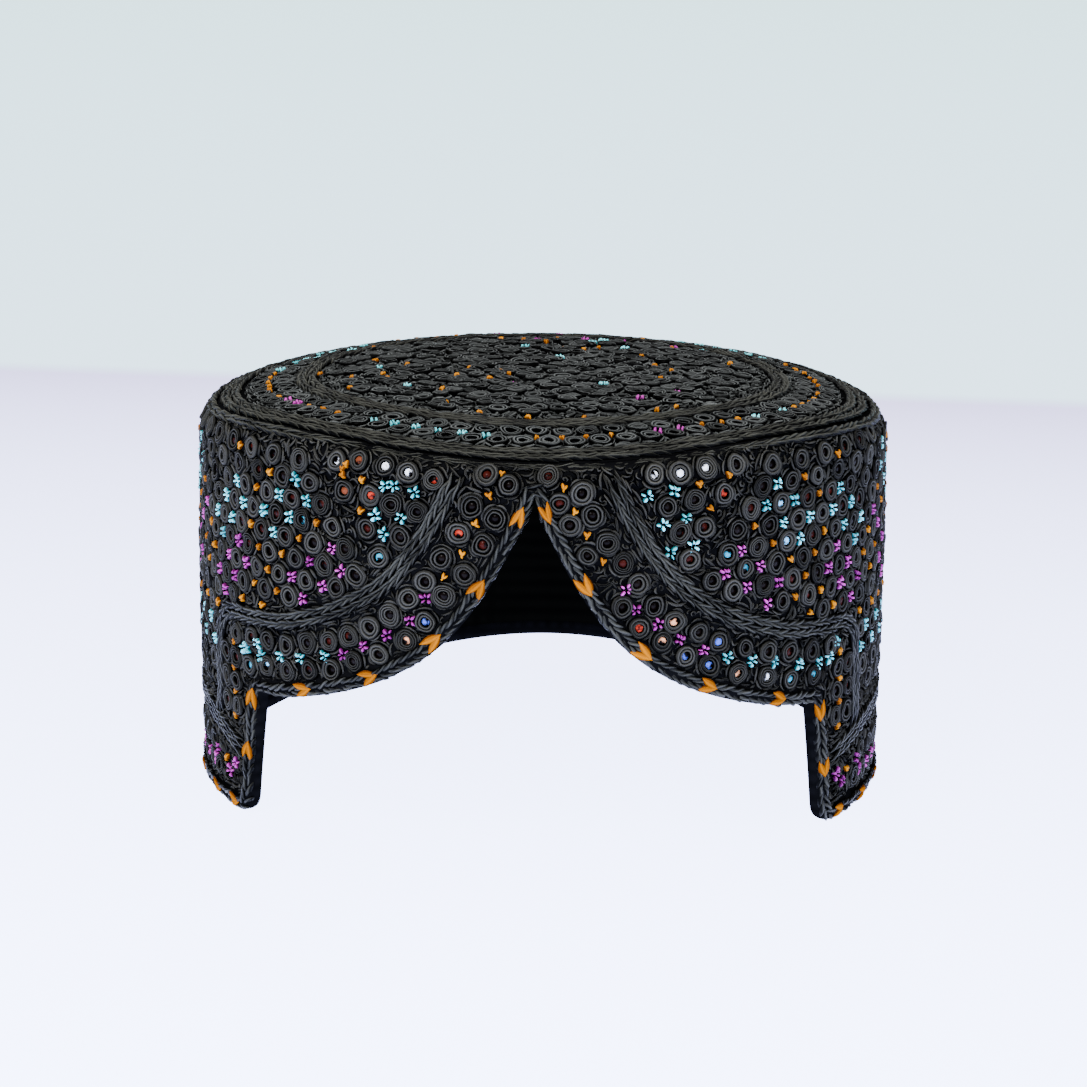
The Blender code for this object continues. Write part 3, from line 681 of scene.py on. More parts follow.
braidSpots, braidAlong, braidReach = [], [], []
for line, reach in ((panelLine, 2.3), (mirrored(panelLine), 2.3), (hemLine, 2.3), (mirrored(hemLine), 2.3),
                    (backSeamLine, 1.2), (backSeamLine * (-1, 1), 1.2)):
    spots, along = evenLine(line, 1.0)
    braidSpots += spots.tolist()
    braidAlong += along.tolist()
    braidReach += [reach] * len(spots)
braidSpots += outlineSpots.tolist()
braidAlong += outlineAlong.tolist()
braidReach += outlineWidth.tolist()
lineTree = nearIndex(braidSpots)
lowSorted = outlineRight[np.argsort(outlineRight[:, 0], kind="stable")]


def clearOfLines(s, z):
    # gap to the edge of the nearest braid or of the binding, with its direction
    found = lineTree.find_n((s, z, 0.0), 3)
    gap, index = min((distance - braidReach[i], i) for _, i, distance in found)
    return gap, braidAlong[index]


def edgeHeight(s):
    return np.interp(np.abs(s), lowSorted[:, 0], lowSorted[:, 1])


def wallRingPlan():
    rings = []
    for side in (-1, 1):
        rings += [(side * s, z) for s, z in bandRings[side] + upperRings[side] + flapRings]
    for side in (-1, 1):
        for row in range(-2, 13):
            for column in range(-26, 5):
                s = lattice["round"] + lattice["rowShift"] * row - lattice["columnGap"] * column
                z = lattice["heights"][side] - lattice["rowDrop"] * row
                if lattice["ringsFrom"][row > 1] < s < halfRound - lattice["backSeam"]:
                    rings.append((side * s, z))
        for s in np.arange(hemRows["from"], halfRound - 3.0, hemRows["pitch"]):
            for z, shift in hemRows["rows"]:
                rings.append((side * (s + shift), z + edgeHeight(s)))
    kept = []
    for s, z in rings:
        length = lengthAtHeight([s], [z])[0]
        onWall = (abs(s) <= halfRound - ringGaps["backSeam"] and z > edgeHeight(s)
                  and length <= seamLength(s) - ringGaps["shoulder"])
        if onWall and clearOfLines(s, z)[0] >= ringGaps["line"] and all(
                (s - a) ** 2 + (length - b) ** 2 >= ringGaps["ring"] ** 2 for a, b in kept):
            kept.append((s, length))
    return np.array(kept)


wallRings = wallRingPlan()
nearRing = nearIndex(wallRings)


def wallStitchPlan():
    # each stitch is planned as (round, height, colour, least gap to those before it)
    plan = []
    for side in (-1, 1):
        for group in (bandStitches[side], upperStitches[side], edgeStitches):
            for color, spots in group.items():
                plan += [(side * s, z, color, 1.4) for s, z in spots]
        for row in range(-1, 12):
            for column in range(-26, 4):
                s = lattice["round"] + lattice["rowShift"] * row - lattice["columnGap"] * column
                s -= lattice["columnGap"] / 2
                z = lattice["heights"][side] - lattice["rowDrop"] * row
                table = latticeColors[(column + 1) % 6]
                color = table.get(row) or {8: "orange", 9: "cyan", 10: "cyan"}.get(row)
                if color and s > lattice["dotsFrom"][row > 1]:
                    plan.append((side * s, z, color, 3.0))
        for k, s in enumerate(np.arange(hemRows["dotFrom"], halfRound - 3.0, hemRows["pitch"])):
            color = ("magenta", "cyan", "orange")[(k // 5) % 3]
            plan.append((side * s, hemRows["dotHeight"] + edgeHeight(s), color, 1.4))
    kept = []
    for s, z, color, apart in plan:
        length = lengthAtHeight([s], [z])[0]
        ring = nearRing.find((s, length, 0.0))[2]
        onWall = (abs(s) < halfRound - stitchGaps["backSeam"] and z > edgeHeight(s)
                  and length < seamLength(s) - stitchGaps["shoulder"])
        if onWall and ring > stitchGaps["ring"] and clearOfLines(s, z)[0] > stitchGaps["line"] and all(
                (s - a) ** 2 + (length - b) ** 2 > apart ** 2 for a, b, _ in kept):
            kept.append((s, length, color))
    return kept


wallStitches = wallStitchPlan()

# The crown: two rows of rings inside the edge, a double braid, then a close
# field of small loops
crownForm = {"outerRow": 78.0, "innerRow": 71.5, "pitch": 6.5, "dotShare": 0.6, "fieldRadius": 61.0,
             "fieldGap": 6.0, "jitter": 1.6, "dotGap": 3.1, "freeFrom": 42.0, "freeShare": 0.4}
# dots on the crown field seen from above, listed one by one
crownDots = {
    "orange": [(-15.5, -55.2), (-2.2, -60.2), (12.0, -59.0), (-24.7, -45.2), (35.7, -46.5), (30.7, -50.2),
               (-26.0, -29.8), (32.3, -9.0), (34.8, 2.7), (31.0, 10.2), (27.0, 23.5), (-9.3, -8.2),
               (-23.5, -10.7), (-14.3, -14.0), (-43.5, -7.3), (-41.8, -14.0), (-61.5, -0.7), (-51.8, -10.7),
               (-47.7, 14.3), (4.8, 35.2), (10.7, 32.7), (14.8, 37.7), (-6.8, 52.7), (-50.2, 41.0),
               (35.7, 41.0), (-51.3, -26.5), (51.8, 18.5), (-37.7, 4.3), (-20.2, 1.0), (-11.8, -2.3)],
    "cyan": [(16.5, -19.8), (4.0, 19.3), (-46.0, 1.8), (-36.0, -24.8), (-56.0, 37.7), (-65.2, 29.3),
             (-6.0, 36.8), (22.3, 38.5), (44.8, 41.0)],
    "magenta": [(26.5, -36.5), (35.7, -29.0), (-7.7, -20.7)],
}
# colour of the dots between the two rows, by degrees from the front, + to +X; the rest are orange
rowColors = [(-36, -5, "cyan"), (-42, -37, "magenta"), (-65, -56, "magenta"), (22, 29, "magenta"),
             (47, 60, "cyan"), (118, 150, "cyan"), (168, 180, "magenta"), (-180, -165, "magenta"),
             (-135, -100, "cyan")]


def crownPlan(seed):
    chance = np.random.default_rng(seed)
    rings, loops, stitches = [], [], []
    outer = round(2 * math.pi * crownForm["outerRow"] / crownForm["pitch"])
    for k in range(outer):
        angle = 2 * math.pi * (k + 0.5) / outer
        rings.append((crownForm["outerRow"] * math.sin(angle), -crownForm["outerRow"] * math.cos(angle)))
        degrees = (math.degrees(angle) + 182.4) % 360 - 180  # of the dot that follows this ring
        color = "orange"
        for low, high, name in rowColors:
            if low <= degrees <= high:
                color = name
        between = (crownForm["outerRow"] * crownForm["dotShare"]
                   + crownForm["innerRow"] * (1 - crownForm["dotShare"]))
        turn = angle + math.pi / outer
        if k % 7 != 3:
            stitches.append((between * math.sin(turn), -between * math.cos(turn), color))
    inner = round(2 * math.pi * crownForm["innerRow"] / crownForm["pitch"])
    for k in range(inner):
        angle = 2 * math.pi * k / inner
        rings.append((crownForm["innerRow"] * math.sin(angle), -crownForm["innerRow"] * math.cos(angle)))
    for color, places in crownDots.items():
        stitches += [(x, y, color) for x, y in places]
    gap, jitter = crownForm["fieldGap"], crownForm["jitter"]
    for i in range(-12, 13):
        for j in range(-12, 13):
            x = gap * (i + 0.5 * (j % 2)) + chance.uniform(-jitter, jitter)
            y = gap * 0.88 * j + chance.uniform(-jitter, jitter)
            if math.hypot(x, y) > crownForm["fieldRadius"] - 3.4:
                continue
            if all(math.hypot(x - a, y - b) > crownForm["dotGap"] for a, b, _ in stitches):
                loops.append((x, y))
            if y > crownForm["freeFrom"] and chance.random() < crownForm["freeShare"]:
                stitches.append((x + 3.7, y, chance.choice(["orange", "orange", "cyan", "magenta"])))
    return np.array(rings), np.array(loops), stitches


crownRings, crownLoops, crownStitches = crownPlan(11)
print("chart:", len(wallRings), "wall rings,", len(crownRings) + len(crownLoops), "crown rings,",
      len(wallStitches) + len(crownStitches), "coloured stitches")

# Rings: turns of thick thread couched round a small hole

ringLook = {"Ring Radius": 2.95 * mm, "Hole Radius": 1.15 * mm, "Coil Height": 1.3 * mm,
            "Unevenness": 0.95 * mm}
# turns of each kind of ring: the place of its middle between hole and rim, its
# width as a share of that band, and its height
coilKinds = [
    [(0.27, 0.56, 0.92), (0.74, 0.58, 1.0)],
    [(0.20, 0.42, 1.0), (0.67, 0.70, 0.92)],
    [(0.16, 0.36, 0.85), (0.50, 0.38, 1.0), (0.84, 0.38, 0.9)],
    [(0.30, 0.50, 0.85), (0.80, 0.50, 1.0)],
]


def ringTree(finish):
    tree, given = newTree("couched ring", ringLook)
    band = addNode(tree, "ShaderNodeMath", {
        0: given["Ring Radius"], 1: given["Hole Radius"]}, operation="SUBTRACT")
    shapes = []
    for coils in coilKinds:
        parts = []
        for middle, width, height in coils:
            radius = addNode(tree, "ShaderNodeMath", {
                0: band, 1: middle, 2: given["Hole Radius"]}, operation="MULTIPLY_ADD")
            across = addNode(tree, "ShaderNodeMath", {0: band, 1: width}, operation="MULTIPLY")
            rise = addNode(tree, "ShaderNodeMath", {0: given["Coil Height"], 1: height}, operation="MULTIPLY")
            parts.append(coilShape(tree, radius.outputs[0], across.outputs[0], rise.outputs[0]))
        shapes.append(addNode(tree, "GeometryNodeJoinGeometry", {"Geometry": parts}).outputs[0])
    return endTree(tree, plantStitches(tree, given["Geometry"], shapes), finish, given["Unevenness"])


def ringSpots(base, seed, low=0.95, high=1.07, stretch=1.0):
    chance = np.random.default_rng(seed)
    count = len(base["co"])
    around = chance.uniform(0, 2 * math.pi, count) if stretch == 1.0 else chance.normal(0.0, 0.6, count)
    side = np.cross(base["facing"], base["heading"])
    base["heading"] = base["heading"] * np.cos(around)[:, None] + side * np.sin(around)[:, None]
    size = chance.uniform(low, high, count)
    base["size"] = np.stack([size * chance.uniform(0.96, 1.04, count) * stretch,
                             size * chance.uniform(0.96, 1.04, count), chance.uniform(0.85, 1.12, count)], -1)
    base["variant"] = chance.choice([0, 0, 1, 2, 3], count)
    base["shade"] = chance.uniform(0.1, 0.75, count)
    return base


frontReach = 125.0  # how far round the front pieces reach before the back ones take over
ringMaker = ringTree(blackThread)
wallRingSpots = ringSpots(wallSpots(wallRings[:, 0], wallRings[:, 1], -0.1), 3)
frontRings = np.abs(wallRings[:, 0]) < frontReach
growPiece("rings_front", picked(wallRingSpots, frontRings), ringMaker, ringLook)
growPiece("rings_back", picked(wallRingSpots, ~frontRings), ringMaker, ringLook)
crownRingSpots = ringSpots(crownSpots(crownRings[:, 0], crownRings[:, 1], -0.1), 5)
loopSpots = ringSpots(crownSpots(crownLoops[:, 0], crownLoops[:, 1], -0.1), 7, 0.74, 0.96, 1.15)
loopSpots["size"][:, 2] *= 1.25
loopSpots["variant"] = np.where(loopSpots["variant"] == 2, 3, loopSpots["variant"])  # none of three turns
growPiece("rings_crown", joined(crownRingSpots, loopSpots), ringTree(crownThreadPaintedLight), ringLook)
print("rings done")

# Glass chips in the rings

chipLook = {"Chip Radius": 1.15 * mm, "Chip Height": 0.4 * mm}


def chipTree(finish):
    tree, given = newTree("glass chip", chipLook)
    rim = addNode(tree, "ShaderNodeMath", {0: given["Chip Radius"], 1: 0.85}, operation="MULTIPLY")
    shape = addNode(tree, "GeometryNodeMeshCone", {
        "Vertices": 8, "Radius Top": rim, "Radius Bottom": given["Chip Radius"],
        "Depth": given["Chip Height"]}, fill_type="NGON")
    return endTree(tree, plantStitches(tree, given["Geometry"], [shape.outputs["Mesh"]]), finish)


def chipSpots(seed):
    chance = np.random.default_rng(seed)
    base = wallSpots(wallRings[:, 0], wallRings[:, 1], 0.02)
    # most chips get a dark painted reflection; those near the listed places get a bright one
    names = chance.choice(["dark", "dark", "garnet", "dark", "garnet", "dark"], len(wallRings))
    for side, groups in paintedGlintChips.items():
        for name, places in groups.items():
            for s, z in places:
                _, index, gap = nearRing.find((side * s, lengthAtHeight([s], [z])[0], 0.0))
                if gap < 1.5:
                    names[index] = name
    base["size"] = np.ones((len(wallRings), 3))
    base["variant"] = np.zeros(len(wallRings), int)
    base["tint"] = np.array([linear(paintedReflectionTints[name]) for name in names])
    return base


growPiece("mirror_chips", chipSpots(13), chipTree(mirrorGlass), chipLook)
print("chips done")

# Ground stitches: short threads packed into every gap, lying round the rings

groundLook = {"Thread Length": 4.2 * mm, "Thread Width": 1.15 * mm, "Thread Height": 1.0 * mm,
              "Bend": 1.3 * mm, "Hook Radius": 0.95 * mm, "Unevenness": 0.6 * mm}
threadBends = (0.0, 1.0, 1.9)


def groundTree(finish):
    tree, given = newTree("ground stitch", groundLook)
    lines = []
    for bend in threadBends:
        bow = addNode(tree, "ShaderNodeMath", {0: given["Bend"], 1: bend}, operation="MULTIPLY")
        lines.append(stitchLine(tree, given["Thread Length"], bow.outputs[0], 4))
    inner = addNode(tree, "ShaderNodeMath", {0: given["Hook Radius"], 1: 0.5}, operation="MULTIPLY")
    hook = addNode(tree, "GeometryNodeCurveSpiral", {
        "Resolution": 7, "Rotations": 0.85, "Start Radius": inner, "End Radius": given["Hook Radius"],
        "Height": 0.0})
    lines.append(hook.outputs[0])
    shapes = [threadShape(tree, line, given["Thread Width"], given["Thread Height"], 1.0, 0.4, corners=3)
              for line in lines]
    return endTree(tree, plantStitches(tree, given["Geometry"], shapes), finish, given["Unevenness"])


chartCell = 0.3  # millimetres of cloth for one cell of the chart of taken ground
# how far ground stitches may creep under rings and braids, and what a dot takes
creep = {"ring": 0.15, "loopShare": 0.85, "braid": 0.4, "seam": 1.6, "wallDot": 1.5, "crownDot": 1.1}
crownBraids = {"edge": 82.0, "inner": (62.0, 67.2), "runEdge": 80.2, "runMiddle": 64.8, "runReach": 4.2}


def cellsOf(chart, x, y):
    rows, columns = chart["taken"].shape
    return (np.clip(((y - chart["low"]) / chartCell).astype(int), 0, rows - 1),
            np.clip(((x - chart["left"]) / chartCell).astype(int), 0, columns - 1))


def newChart(left, low, right, high):
    return {"left": left, "low": low,
            "taken": np.zeros((int((high - low) / chartCell) + 1, int((right - left) / chartCell) + 1), bool)}


def takeDiscs(chart, spots, radii):
    # marks round spots as taken
    spots, radii = np.asarray(spots, float), np.broadcast_to(radii, len(spots))
    reach = int(math.ceil(radii.max() / chartCell))
    for i in range(-reach, reach + 1):
        for j in range(-reach, reach + 1):
            inside = math.hypot(i, j) * chartCell <= radii
            cells = cellsOf(chart, spots[inside, 0] + j * chartCell, spots[inside, 1] + i * chartCell)
            chart["taken"][cells] = True


threadMarks = np.array([(i, j) for i in (-1, 0, 1) for j in (-1, 0, 1)]) * chartCell


def layThread(chart, x, y, turn, variant, size, crowd):
    # keeps a thread where no more than crowd of its seven spots are taken
    t = np.linspace(0.03, 0.97, 7)
    if variant == 3:
        px, py = 0.75 * size[0] * np.cos(5.3 * t), 0.75 * size[1] * np.sin(5.3 * t)
    else:
        px = groundLook["Thread Length"] / mm * size[0] * (t - 0.5)
        py = 2 * t * (1 - t) * groundLook["Bend"] / mm * threadBends[variant] * size[1]
    c, s = math.cos(turn), math.sin(turn)
    qx, qy = x + px * c - py * s, y + px * s + py * c
    if chart["taken"][cellsOf(chart, qx, qy)].sum() > crowd:
        return False
    markX, markY = qx[:, None] + threadMarks[:, 0], qy[:, None] + threadMarks[:, 1]
    chart["taken"][cellsOf(chart, markX.ravel(), markY.ravel())] = True
    return True


# sizes that a thread is tried at in turn, and how many taken spots each may cover
threadTries = ((1.0, 0), (1.0, 1), (1.0, 1), (0.85, 1), (0.7, 1), (0.7, 1), (0.55, 1), (0.5, 2),
               (0.4, 2), (0.4, 3))


def packThreads(chart, rings, radii, area, seed, runAt):
    # first arcs that hug each ring, then threads at any turn in what is left
    chance = np.random.default_rng(seed)
    laid = []
    for (x, y), radius in zip(rings, radii):
        start = chance.uniform(0, 2 * math.pi)
        for k in range(6):
            a = start + k * math.pi / 3 + chance.uniform(-0.2, 0.2)
            size = (chance.uniform(0.7, 1.1), chance.uniform(0.8, 1.05))
            r = radius + 0.5 - 0.65 * size[1]
            spot = (x + r * math.cos(a), y + r * math.sin(a), math.atan2(-math.cos(a), math.sin(a)))
            if layThread(chart, *spot, 1, size, 2):
                laid.append((*spot, 1, *size, chance.uniform(0.7, 1.05)))
    left, low, right, high = area
    spots = [(x + (j % 2) * 0.5, y) for j, y in enumerate(np.arange(low, high, 0.95))
             for x in np.arange(left, right, 1.05)]
    for i in chance.permutation(len(spots)):
        x, y = spots[i][0] + chance.uniform(-0.4, 0.4), spots[i][1] + chance.uniform(-0.4, 0.4)
        if chart["taken"][cellsOf(chart, np.array([x]), np.array([y]))][0]:
            continue
        run = runAt(x, y)
        for share, crowd in threadTries:
            turn, variant = chance.uniform(0, 2 * math.pi), (0, 1, 1, 2, 2, 3)[chance.integers(0, 6)]
            if run is not None and share > 0.6:
                turn = run + chance.normal(0.0, 0.12) + (math.pi if chance.random() < 0.5 else 0.0)
                variant = (0, 1)[chance.integers(0, 2)]
            size = (chance.uniform(0.75, 1.25) * share,
                    chance.uniform(0.75, 1.1) * (0.9 if share < 0.6 else 1.0))
            if layThread(chart, x, y, turn, variant, size, crowd):
                laid.append((x, y, turn, variant, *size, chance.uniform(0.6, 1.1)))
                break
    return np.array(laid)


def groundSpots(laid, onCrown, seed):
    headings = np.stack([np.cos(laid[:, 2]), np.sin(laid[:, 2])], -1)
    spots = (crownSpots if onCrown else wallSpots)(laid[:, 0], laid[:, 1], -0.15, headings)
    spots.update(size=laid[:, 4:7], variant=laid[:, 3].astype(int),
                 shade=np.random.default_rng(seed).uniform(0.0, 0.85, len(laid)))
    return spots


def runOnWall(x, y):
    # threads next to a braid or the binding run along it
    space, along = clearOfLines(x, y)
    return math.atan2(along[1], along[0]) if space < 1.6 else None


def runOnCrown(x, y):
    radius = math.hypot(x, y)
    near = radius > crownBraids["runEdge"] or abs(radius - crownBraids["runMiddle"]) < crownBraids["runReach"]
    return math.atan2(x, -y) if near else None


def wallThreads(seed):
    chart = newChart(-halfRound, 0.0, halfRound, 118.0)
    rounds = chart["left"] + (np.arange(chart["taken"].shape[1]) + 0.5) * chartCell
    lengths = chart["low"] + (np.arange(chart["taken"].shape[0]) + 0.5) * chartCell
    chart["taken"] |= lengths[:, None] < edgeHeight(rounds)[None, :]
    chart["taken"] |= lengths[:, None] > (seamLength(rounds) - creep["seam"])[None, :]
    takeDiscs(chart, wallRings, ringLook["Ring Radius"] / mm - creep["ring"])
    takeDiscs(chart, [(s, y) for s, y, _ in wallStitches], creep["wallDot"])
    takeDiscs(chart, braidSpots, np.array(braidReach) - creep["braid"])
    radii = [ringLook["Ring Radius"] / mm] * len(wallRings)
    return packThreads(chart, wallRings, radii, (-halfRound + 2, 0.0, halfRound - 2, 118.0), seed, runOnWall)


def crownThreads(seed):
    chart = newChart(-90.0, -90.0, 90.0, 90.0)
    x = chart["left"] + (np.arange(chart["taken"].shape[1]) + 0.5) * chartCell
    radius = np.hypot(x[None, :], x[:, None])
    low, high = crownBraids["inner"]
    chart["taken"] |= (radius > crownBraids["edge"]) | ((radius > low) & (radius < high))
    takeDiscs(chart, crownRings, ringLook["Ring Radius"] / mm - creep["ring"])
    takeDiscs(chart, crownLoops, creep["loopShare"] * ringLook["Ring Radius"] / mm)
    takeDiscs(chart, [(x, y) for x, y, _ in crownStitches], creep["crownDot"])
    rings = np.vstack([crownRings, crownLoops])
    shares = [1.0] * len(crownRings) + [creep["loopShare"]] * len(crownLoops)
    radii = np.array(shares) * ringLook["Ring Radius"] / mm
    return packThreads(chart, rings, radii, (-84.0, -84.0, 84.0, 84.0), seed, runOnCrown)


groundMaker = groundTree(blackThread)
wallLaid = wallThreads(21)
for name, low, high in (("ground_front_left", -frontReach, 0.0), ("ground_front_right", 0.0, frontReach),
                        ("ground_back_left", -halfRound, -frontReach),
                        ("ground_back_right", frontReach, halfRound)):
    here = wallLaid[(wallLaid[:, 0] >= low) & (wallLaid[:, 0] < high)]
    growPiece(name, groundSpots(here, False, 22), groundMaker, groundLook)
growPiece("ground_crown", groundSpots(crownThreads(25), True, 26), groundTree(crownThreadPaintedLight), groundLook)
print("ground stitches done")

# Coloured stitches: crosses of five petals, and small three-lobed knots

crossLook = {"Petal Length": 1.35 * mm, "Petal Width": 0.92 * mm, "Petal Height": 1.3 * mm,
             "Petal Reach": 1.12 * mm, "Unevenness": 0.9 * mm}
knotLook = {"Petal Length": 1.6 * mm, "Petal Width": 1.05 * mm, "Petal Height": 1.4 * mm,
            "Petal Reach": 0.5 * mm, "Unevenness": 0.8 * mm}


def petalTree(name, look, fans, finish):
    # each fan is a list of (angle, reach share, size) for the petals of one stitch
    tree, given = newTree(name, look)
    line = stitchLine(tree, given["Petal Length"], 0.0, 4)
    petal = threadShape(tree, line, given["Petal Width"], given["Petal Height"], 1.0, 0.45, 0.6)
    shapes = []
    for fan in fans:
        parts = []
        for degrees, share, size in fan:
            out = addNode(tree, "ShaderNodeMath", {0: given["Petal Reach"], 1: share}, operation="MULTIPLY")
            shift = addNode(tree, "ShaderNodeCombineXYZ", {"X": out})
            moved = addNode(tree, "GeometryNodeTransform", {
                "Geometry": petal, "Translation": shift, "Scale": (size, size, 1.0)})
            turned = addNode(tree, "GeometryNodeTransform", {
                "Geometry": moved, "Rotation": (0.0, 0.0, math.radians(degrees))})
            parts.append(turned.outputs[0])
        shapes.append(addNode(tree, "GeometryNodeJoinGeometry", {"Geometry": parts}).outputs[0])
    return endTree(tree, plantStitches(tree, given["Geometry"], shapes), finish, given["Unevenness"])


crossFans = [
    [(32, 1.0, 1.0), (88, 0.75, 0.6), (140, 1.1, 0.95), (222, 0.95, 0.8), (312, 1.1, 1.0)],
    [(48, 1.05, 0.8), (130, 0.9, 1.05), (196, 1.0, 0.65), (248, 1.1, 0.9), (330, 0.9, 0.85)],
    [(20, 0.9, 0.7), (70, 1.1, 0.95), (150, 1.05, 0.85), (238, 1.0, 1.05), (320, 1.05, 0.75)],
]
knotFans = [
    [(55, 1.0, 1.0), (125, 1.0, 1.0), (255, 0.6, 0.7)],
    [(70, 0.9, 1.0), (150, 1.0, 0.9), (320, 0.8, 0.7)],
    [(40, 0.9, 0.9), (115, 1.0, 1.0), (270, 0.5, 0.7)],
]


def colorSpots(color, seed, crown, low, high):
    chance = np.random.default_rng(seed)
    points = np.array([(a, b) for a, b, name in (crownStitches if crown else wallStitches) if name == color])
    turn = chance.normal(0.0, 0.25, len(points)) if not crown else chance.uniform(0, 6.28, len(points))
    headings = np.stack([np.cos(turn), np.sin(turn)], -1)
    spots = (crownSpots if crown else wallSpots)(points[:, 0], points[:, 1], 0.0, headings)
    size = chance.uniform(low, high, len(points))
    spots.update(size=np.stack([size, size, chance.uniform(0.9, 1.15, len(points))], -1),
                 variant=chance.integers(0, 3, len(points)), shade=chance.uniform(0.1, 1.0, len(points)))
    return spots


for color, look, fans, finish, seed in (
        ("cyan", crossLook, crossFans, cyanSilk, 31), ("magenta", crossLook, crossFans, magentaSilk, 32),
        ("orange", knotLook, knotFans, orangeSilk, 33)):
    maker = petalTree(color + " stitch", look, fans, finish)
    spots = joined(colorSpots(color, seed, False, 0.88, 1.08), colorSpots(color, seed + 10, True, 0.68, 0.88))
    growPiece(color + "_stitches", spots, maker, look)
print("coloured stitches done")

# Braids: two lanes of long overlapping lobes along a line on the cloth

braidLook = {"Pitch": 3.3 * mm, "Lobe Length": 7.0 * mm, "Lobe Width": 1.12 * mm, "Lobe Height": 1.4 * mm,
             "Lane Offset": 0.38 * mm, "Tilt": 9.0, "Unevenness": 0.8 * mm, "Seed": 1}
edgeLook = {"Pitch": 3.6 * mm, "Lobe Length": 8.6 * mm, "Lobe Width": 1.15 * mm, "Lobe Height": 1.3 * mm,
            "Lane Offset": 0.5 * mm, "Tilt": 8.0, "Unevenness": 1.0 * mm, "Seed": 1}


def braidTree(name, look, finish):
    tree, given = newTree(name, look)
    curve = addNode(tree, "GeometryNodeMeshToCurve", {"Mesh": given["Geometry"]})
    line = addNode(tree, "GeometryNodeResampleCurve", {
        "Curve": curve, "Length": given["Pitch"]}, mode="LENGTH")
    facing = addNode(tree, "GeometryNodeInputNamedAttribute", {"Name": "facing"}, data_type="FLOAT_VECTOR")
    running = addNode(tree, "GeometryNodeInputTangent")
    upright = addNode(tree, "FunctionNodeAlignRotationToVector", {"Vector": facing}, axis="Z")
    turned = addNode(tree, "FunctionNodeAlignRotationToVector", {
        "Rotation": upright, "Vector": running}, axis="X", pivot_axis="Z")
    lobe = stitchLine(tree, given["Lobe Length"], 0.0, 5)
    shape = threadShape(tree, lobe, given["Lobe Width"], given["Lobe Height"], 5.0, 0.22)
    angle = addNode(tree, "ShaderNodeMath", {0: given["Tilt"]}, operation="RADIANS")
    half = addNode(tree, "ShaderNodeMath", {0: given["Pitch"], 1: 0.5}, operation="MULTIPLY")
    girth = addNode(tree, "GeometryNodeInputNamedAttribute", {"Name": "girth"}, data_type="FLOAT")
    plump = addNode(tree, "ShaderNodeCombineXYZ", {"X": 1.0, "Y": girth, "Z": girth})
    lanes = []
    for lane, side in enumerate((1.0, -1.0)):
        planted = addNode(tree, "GeometryNodeInstanceOnPoints", {
            "Points": line, "Instance": shape, "Rotation": turned, "Scale": plump})
        jitter = addNode(tree, "FunctionNodeRandomValue", {
            2: -0.09, 3: 0.09, "Seed": given["Seed"]}, data_type="FLOAT")
        tilt = addNode(tree, "ShaderNodeMath", {
            0: angle, 1: side, 2: jitter.outputs[1]}, operation="MULTIPLY_ADD")
        swing = addNode(tree, "ShaderNodeCombineXYZ", {"Z": tilt})
        angled = addNode(tree, "GeometryNodeRotateInstances", {
            "Instances": planted, "Rotation": swing, "Local Space": True})
        offset = addNode(tree, "ShaderNodeMath", {0: given["Lane Offset"], 1: side}, operation="MULTIPLY")
        shift = addNode(tree, "ShaderNodeCombineXYZ", {"X": half if lane else 0.0, "Y": offset})
        moved = addNode(tree, "GeometryNodeTranslateInstances", {
            "Instances": angled, "Translation": shift, "Local Space": True})
        bright = addNode(tree, "FunctionNodeRandomValue", {"Seed": given["Seed"]}, data_type="FLOAT")
        named = addNode(tree, "GeometryNodeStoreNamedAttribute", {
            "Geometry": moved, "Name": "shade",
            "Value": bright.outputs[1]}, data_type="FLOAT", domain="INSTANCE")
        lanes.append(named.outputs[0])
    both = addNode(tree, "GeometryNodeJoinGeometry", {"Geometry": lanes})
    return endTree(tree, both.outputs[0], finish, given["Unevenness"])


def growBraid(name, spots, closed, tree, values):
    # a braid grows along the edges between its spots
    count = len(spots["co"])
    edges = [(i, i + 1) for i in range(count - 1)] + ([(count - 1, 0)] if closed else [])
    line = {"co": spots["co"], "facing": spots["facing"], "girth": spots.get("girth", np.ones(count))}
    return growPiece(name, line, tree, values, edges)


def strandSpots(line, side, out):
    spots, along = evenLine(line, 1.5)
    left = np.stack([-along[:, 1], along[:, 0]], -1)
    moved = spots + left * side
    return wallSpots(moved[:, 0], moved[:, 1], out)


fullTurn = np.radians(np.arange(0, 360, 1.5))
turnRounds = fullTurn * shell["chartRadius"]
# the shoulder braid is thin and close to the seam in front, fuller at the sides and back
shoulderForm = {"thinTo": 50.0, "over": 25.0, "below": 0.7, "lower": 0.8, "sunk": 0.4, "girth": 0.5,
                "fuller": 0.6}


def circleSpots(radius, out):
    return crownSpots(radius * np.sin(fullTurn), -radius * np.cos(fullTurn), out)


def shoulderSpots(out):
    form = shoulderForm
    away = np.minimum(turnRounds, 2 * halfRound - turnRounds)
    side = np.clip((away - form["thinTo"]) / form["over"], 0.0, 1.0)
    lengths = seamLength(turnRounds) - form["below"] - form["lower"] * side
    spots = wallSpots(turnRounds, lengths, out - form["sunk"] * (1 - side))
    spots["girth"] = form["girth"] + form["fuller"] * side
    return spots


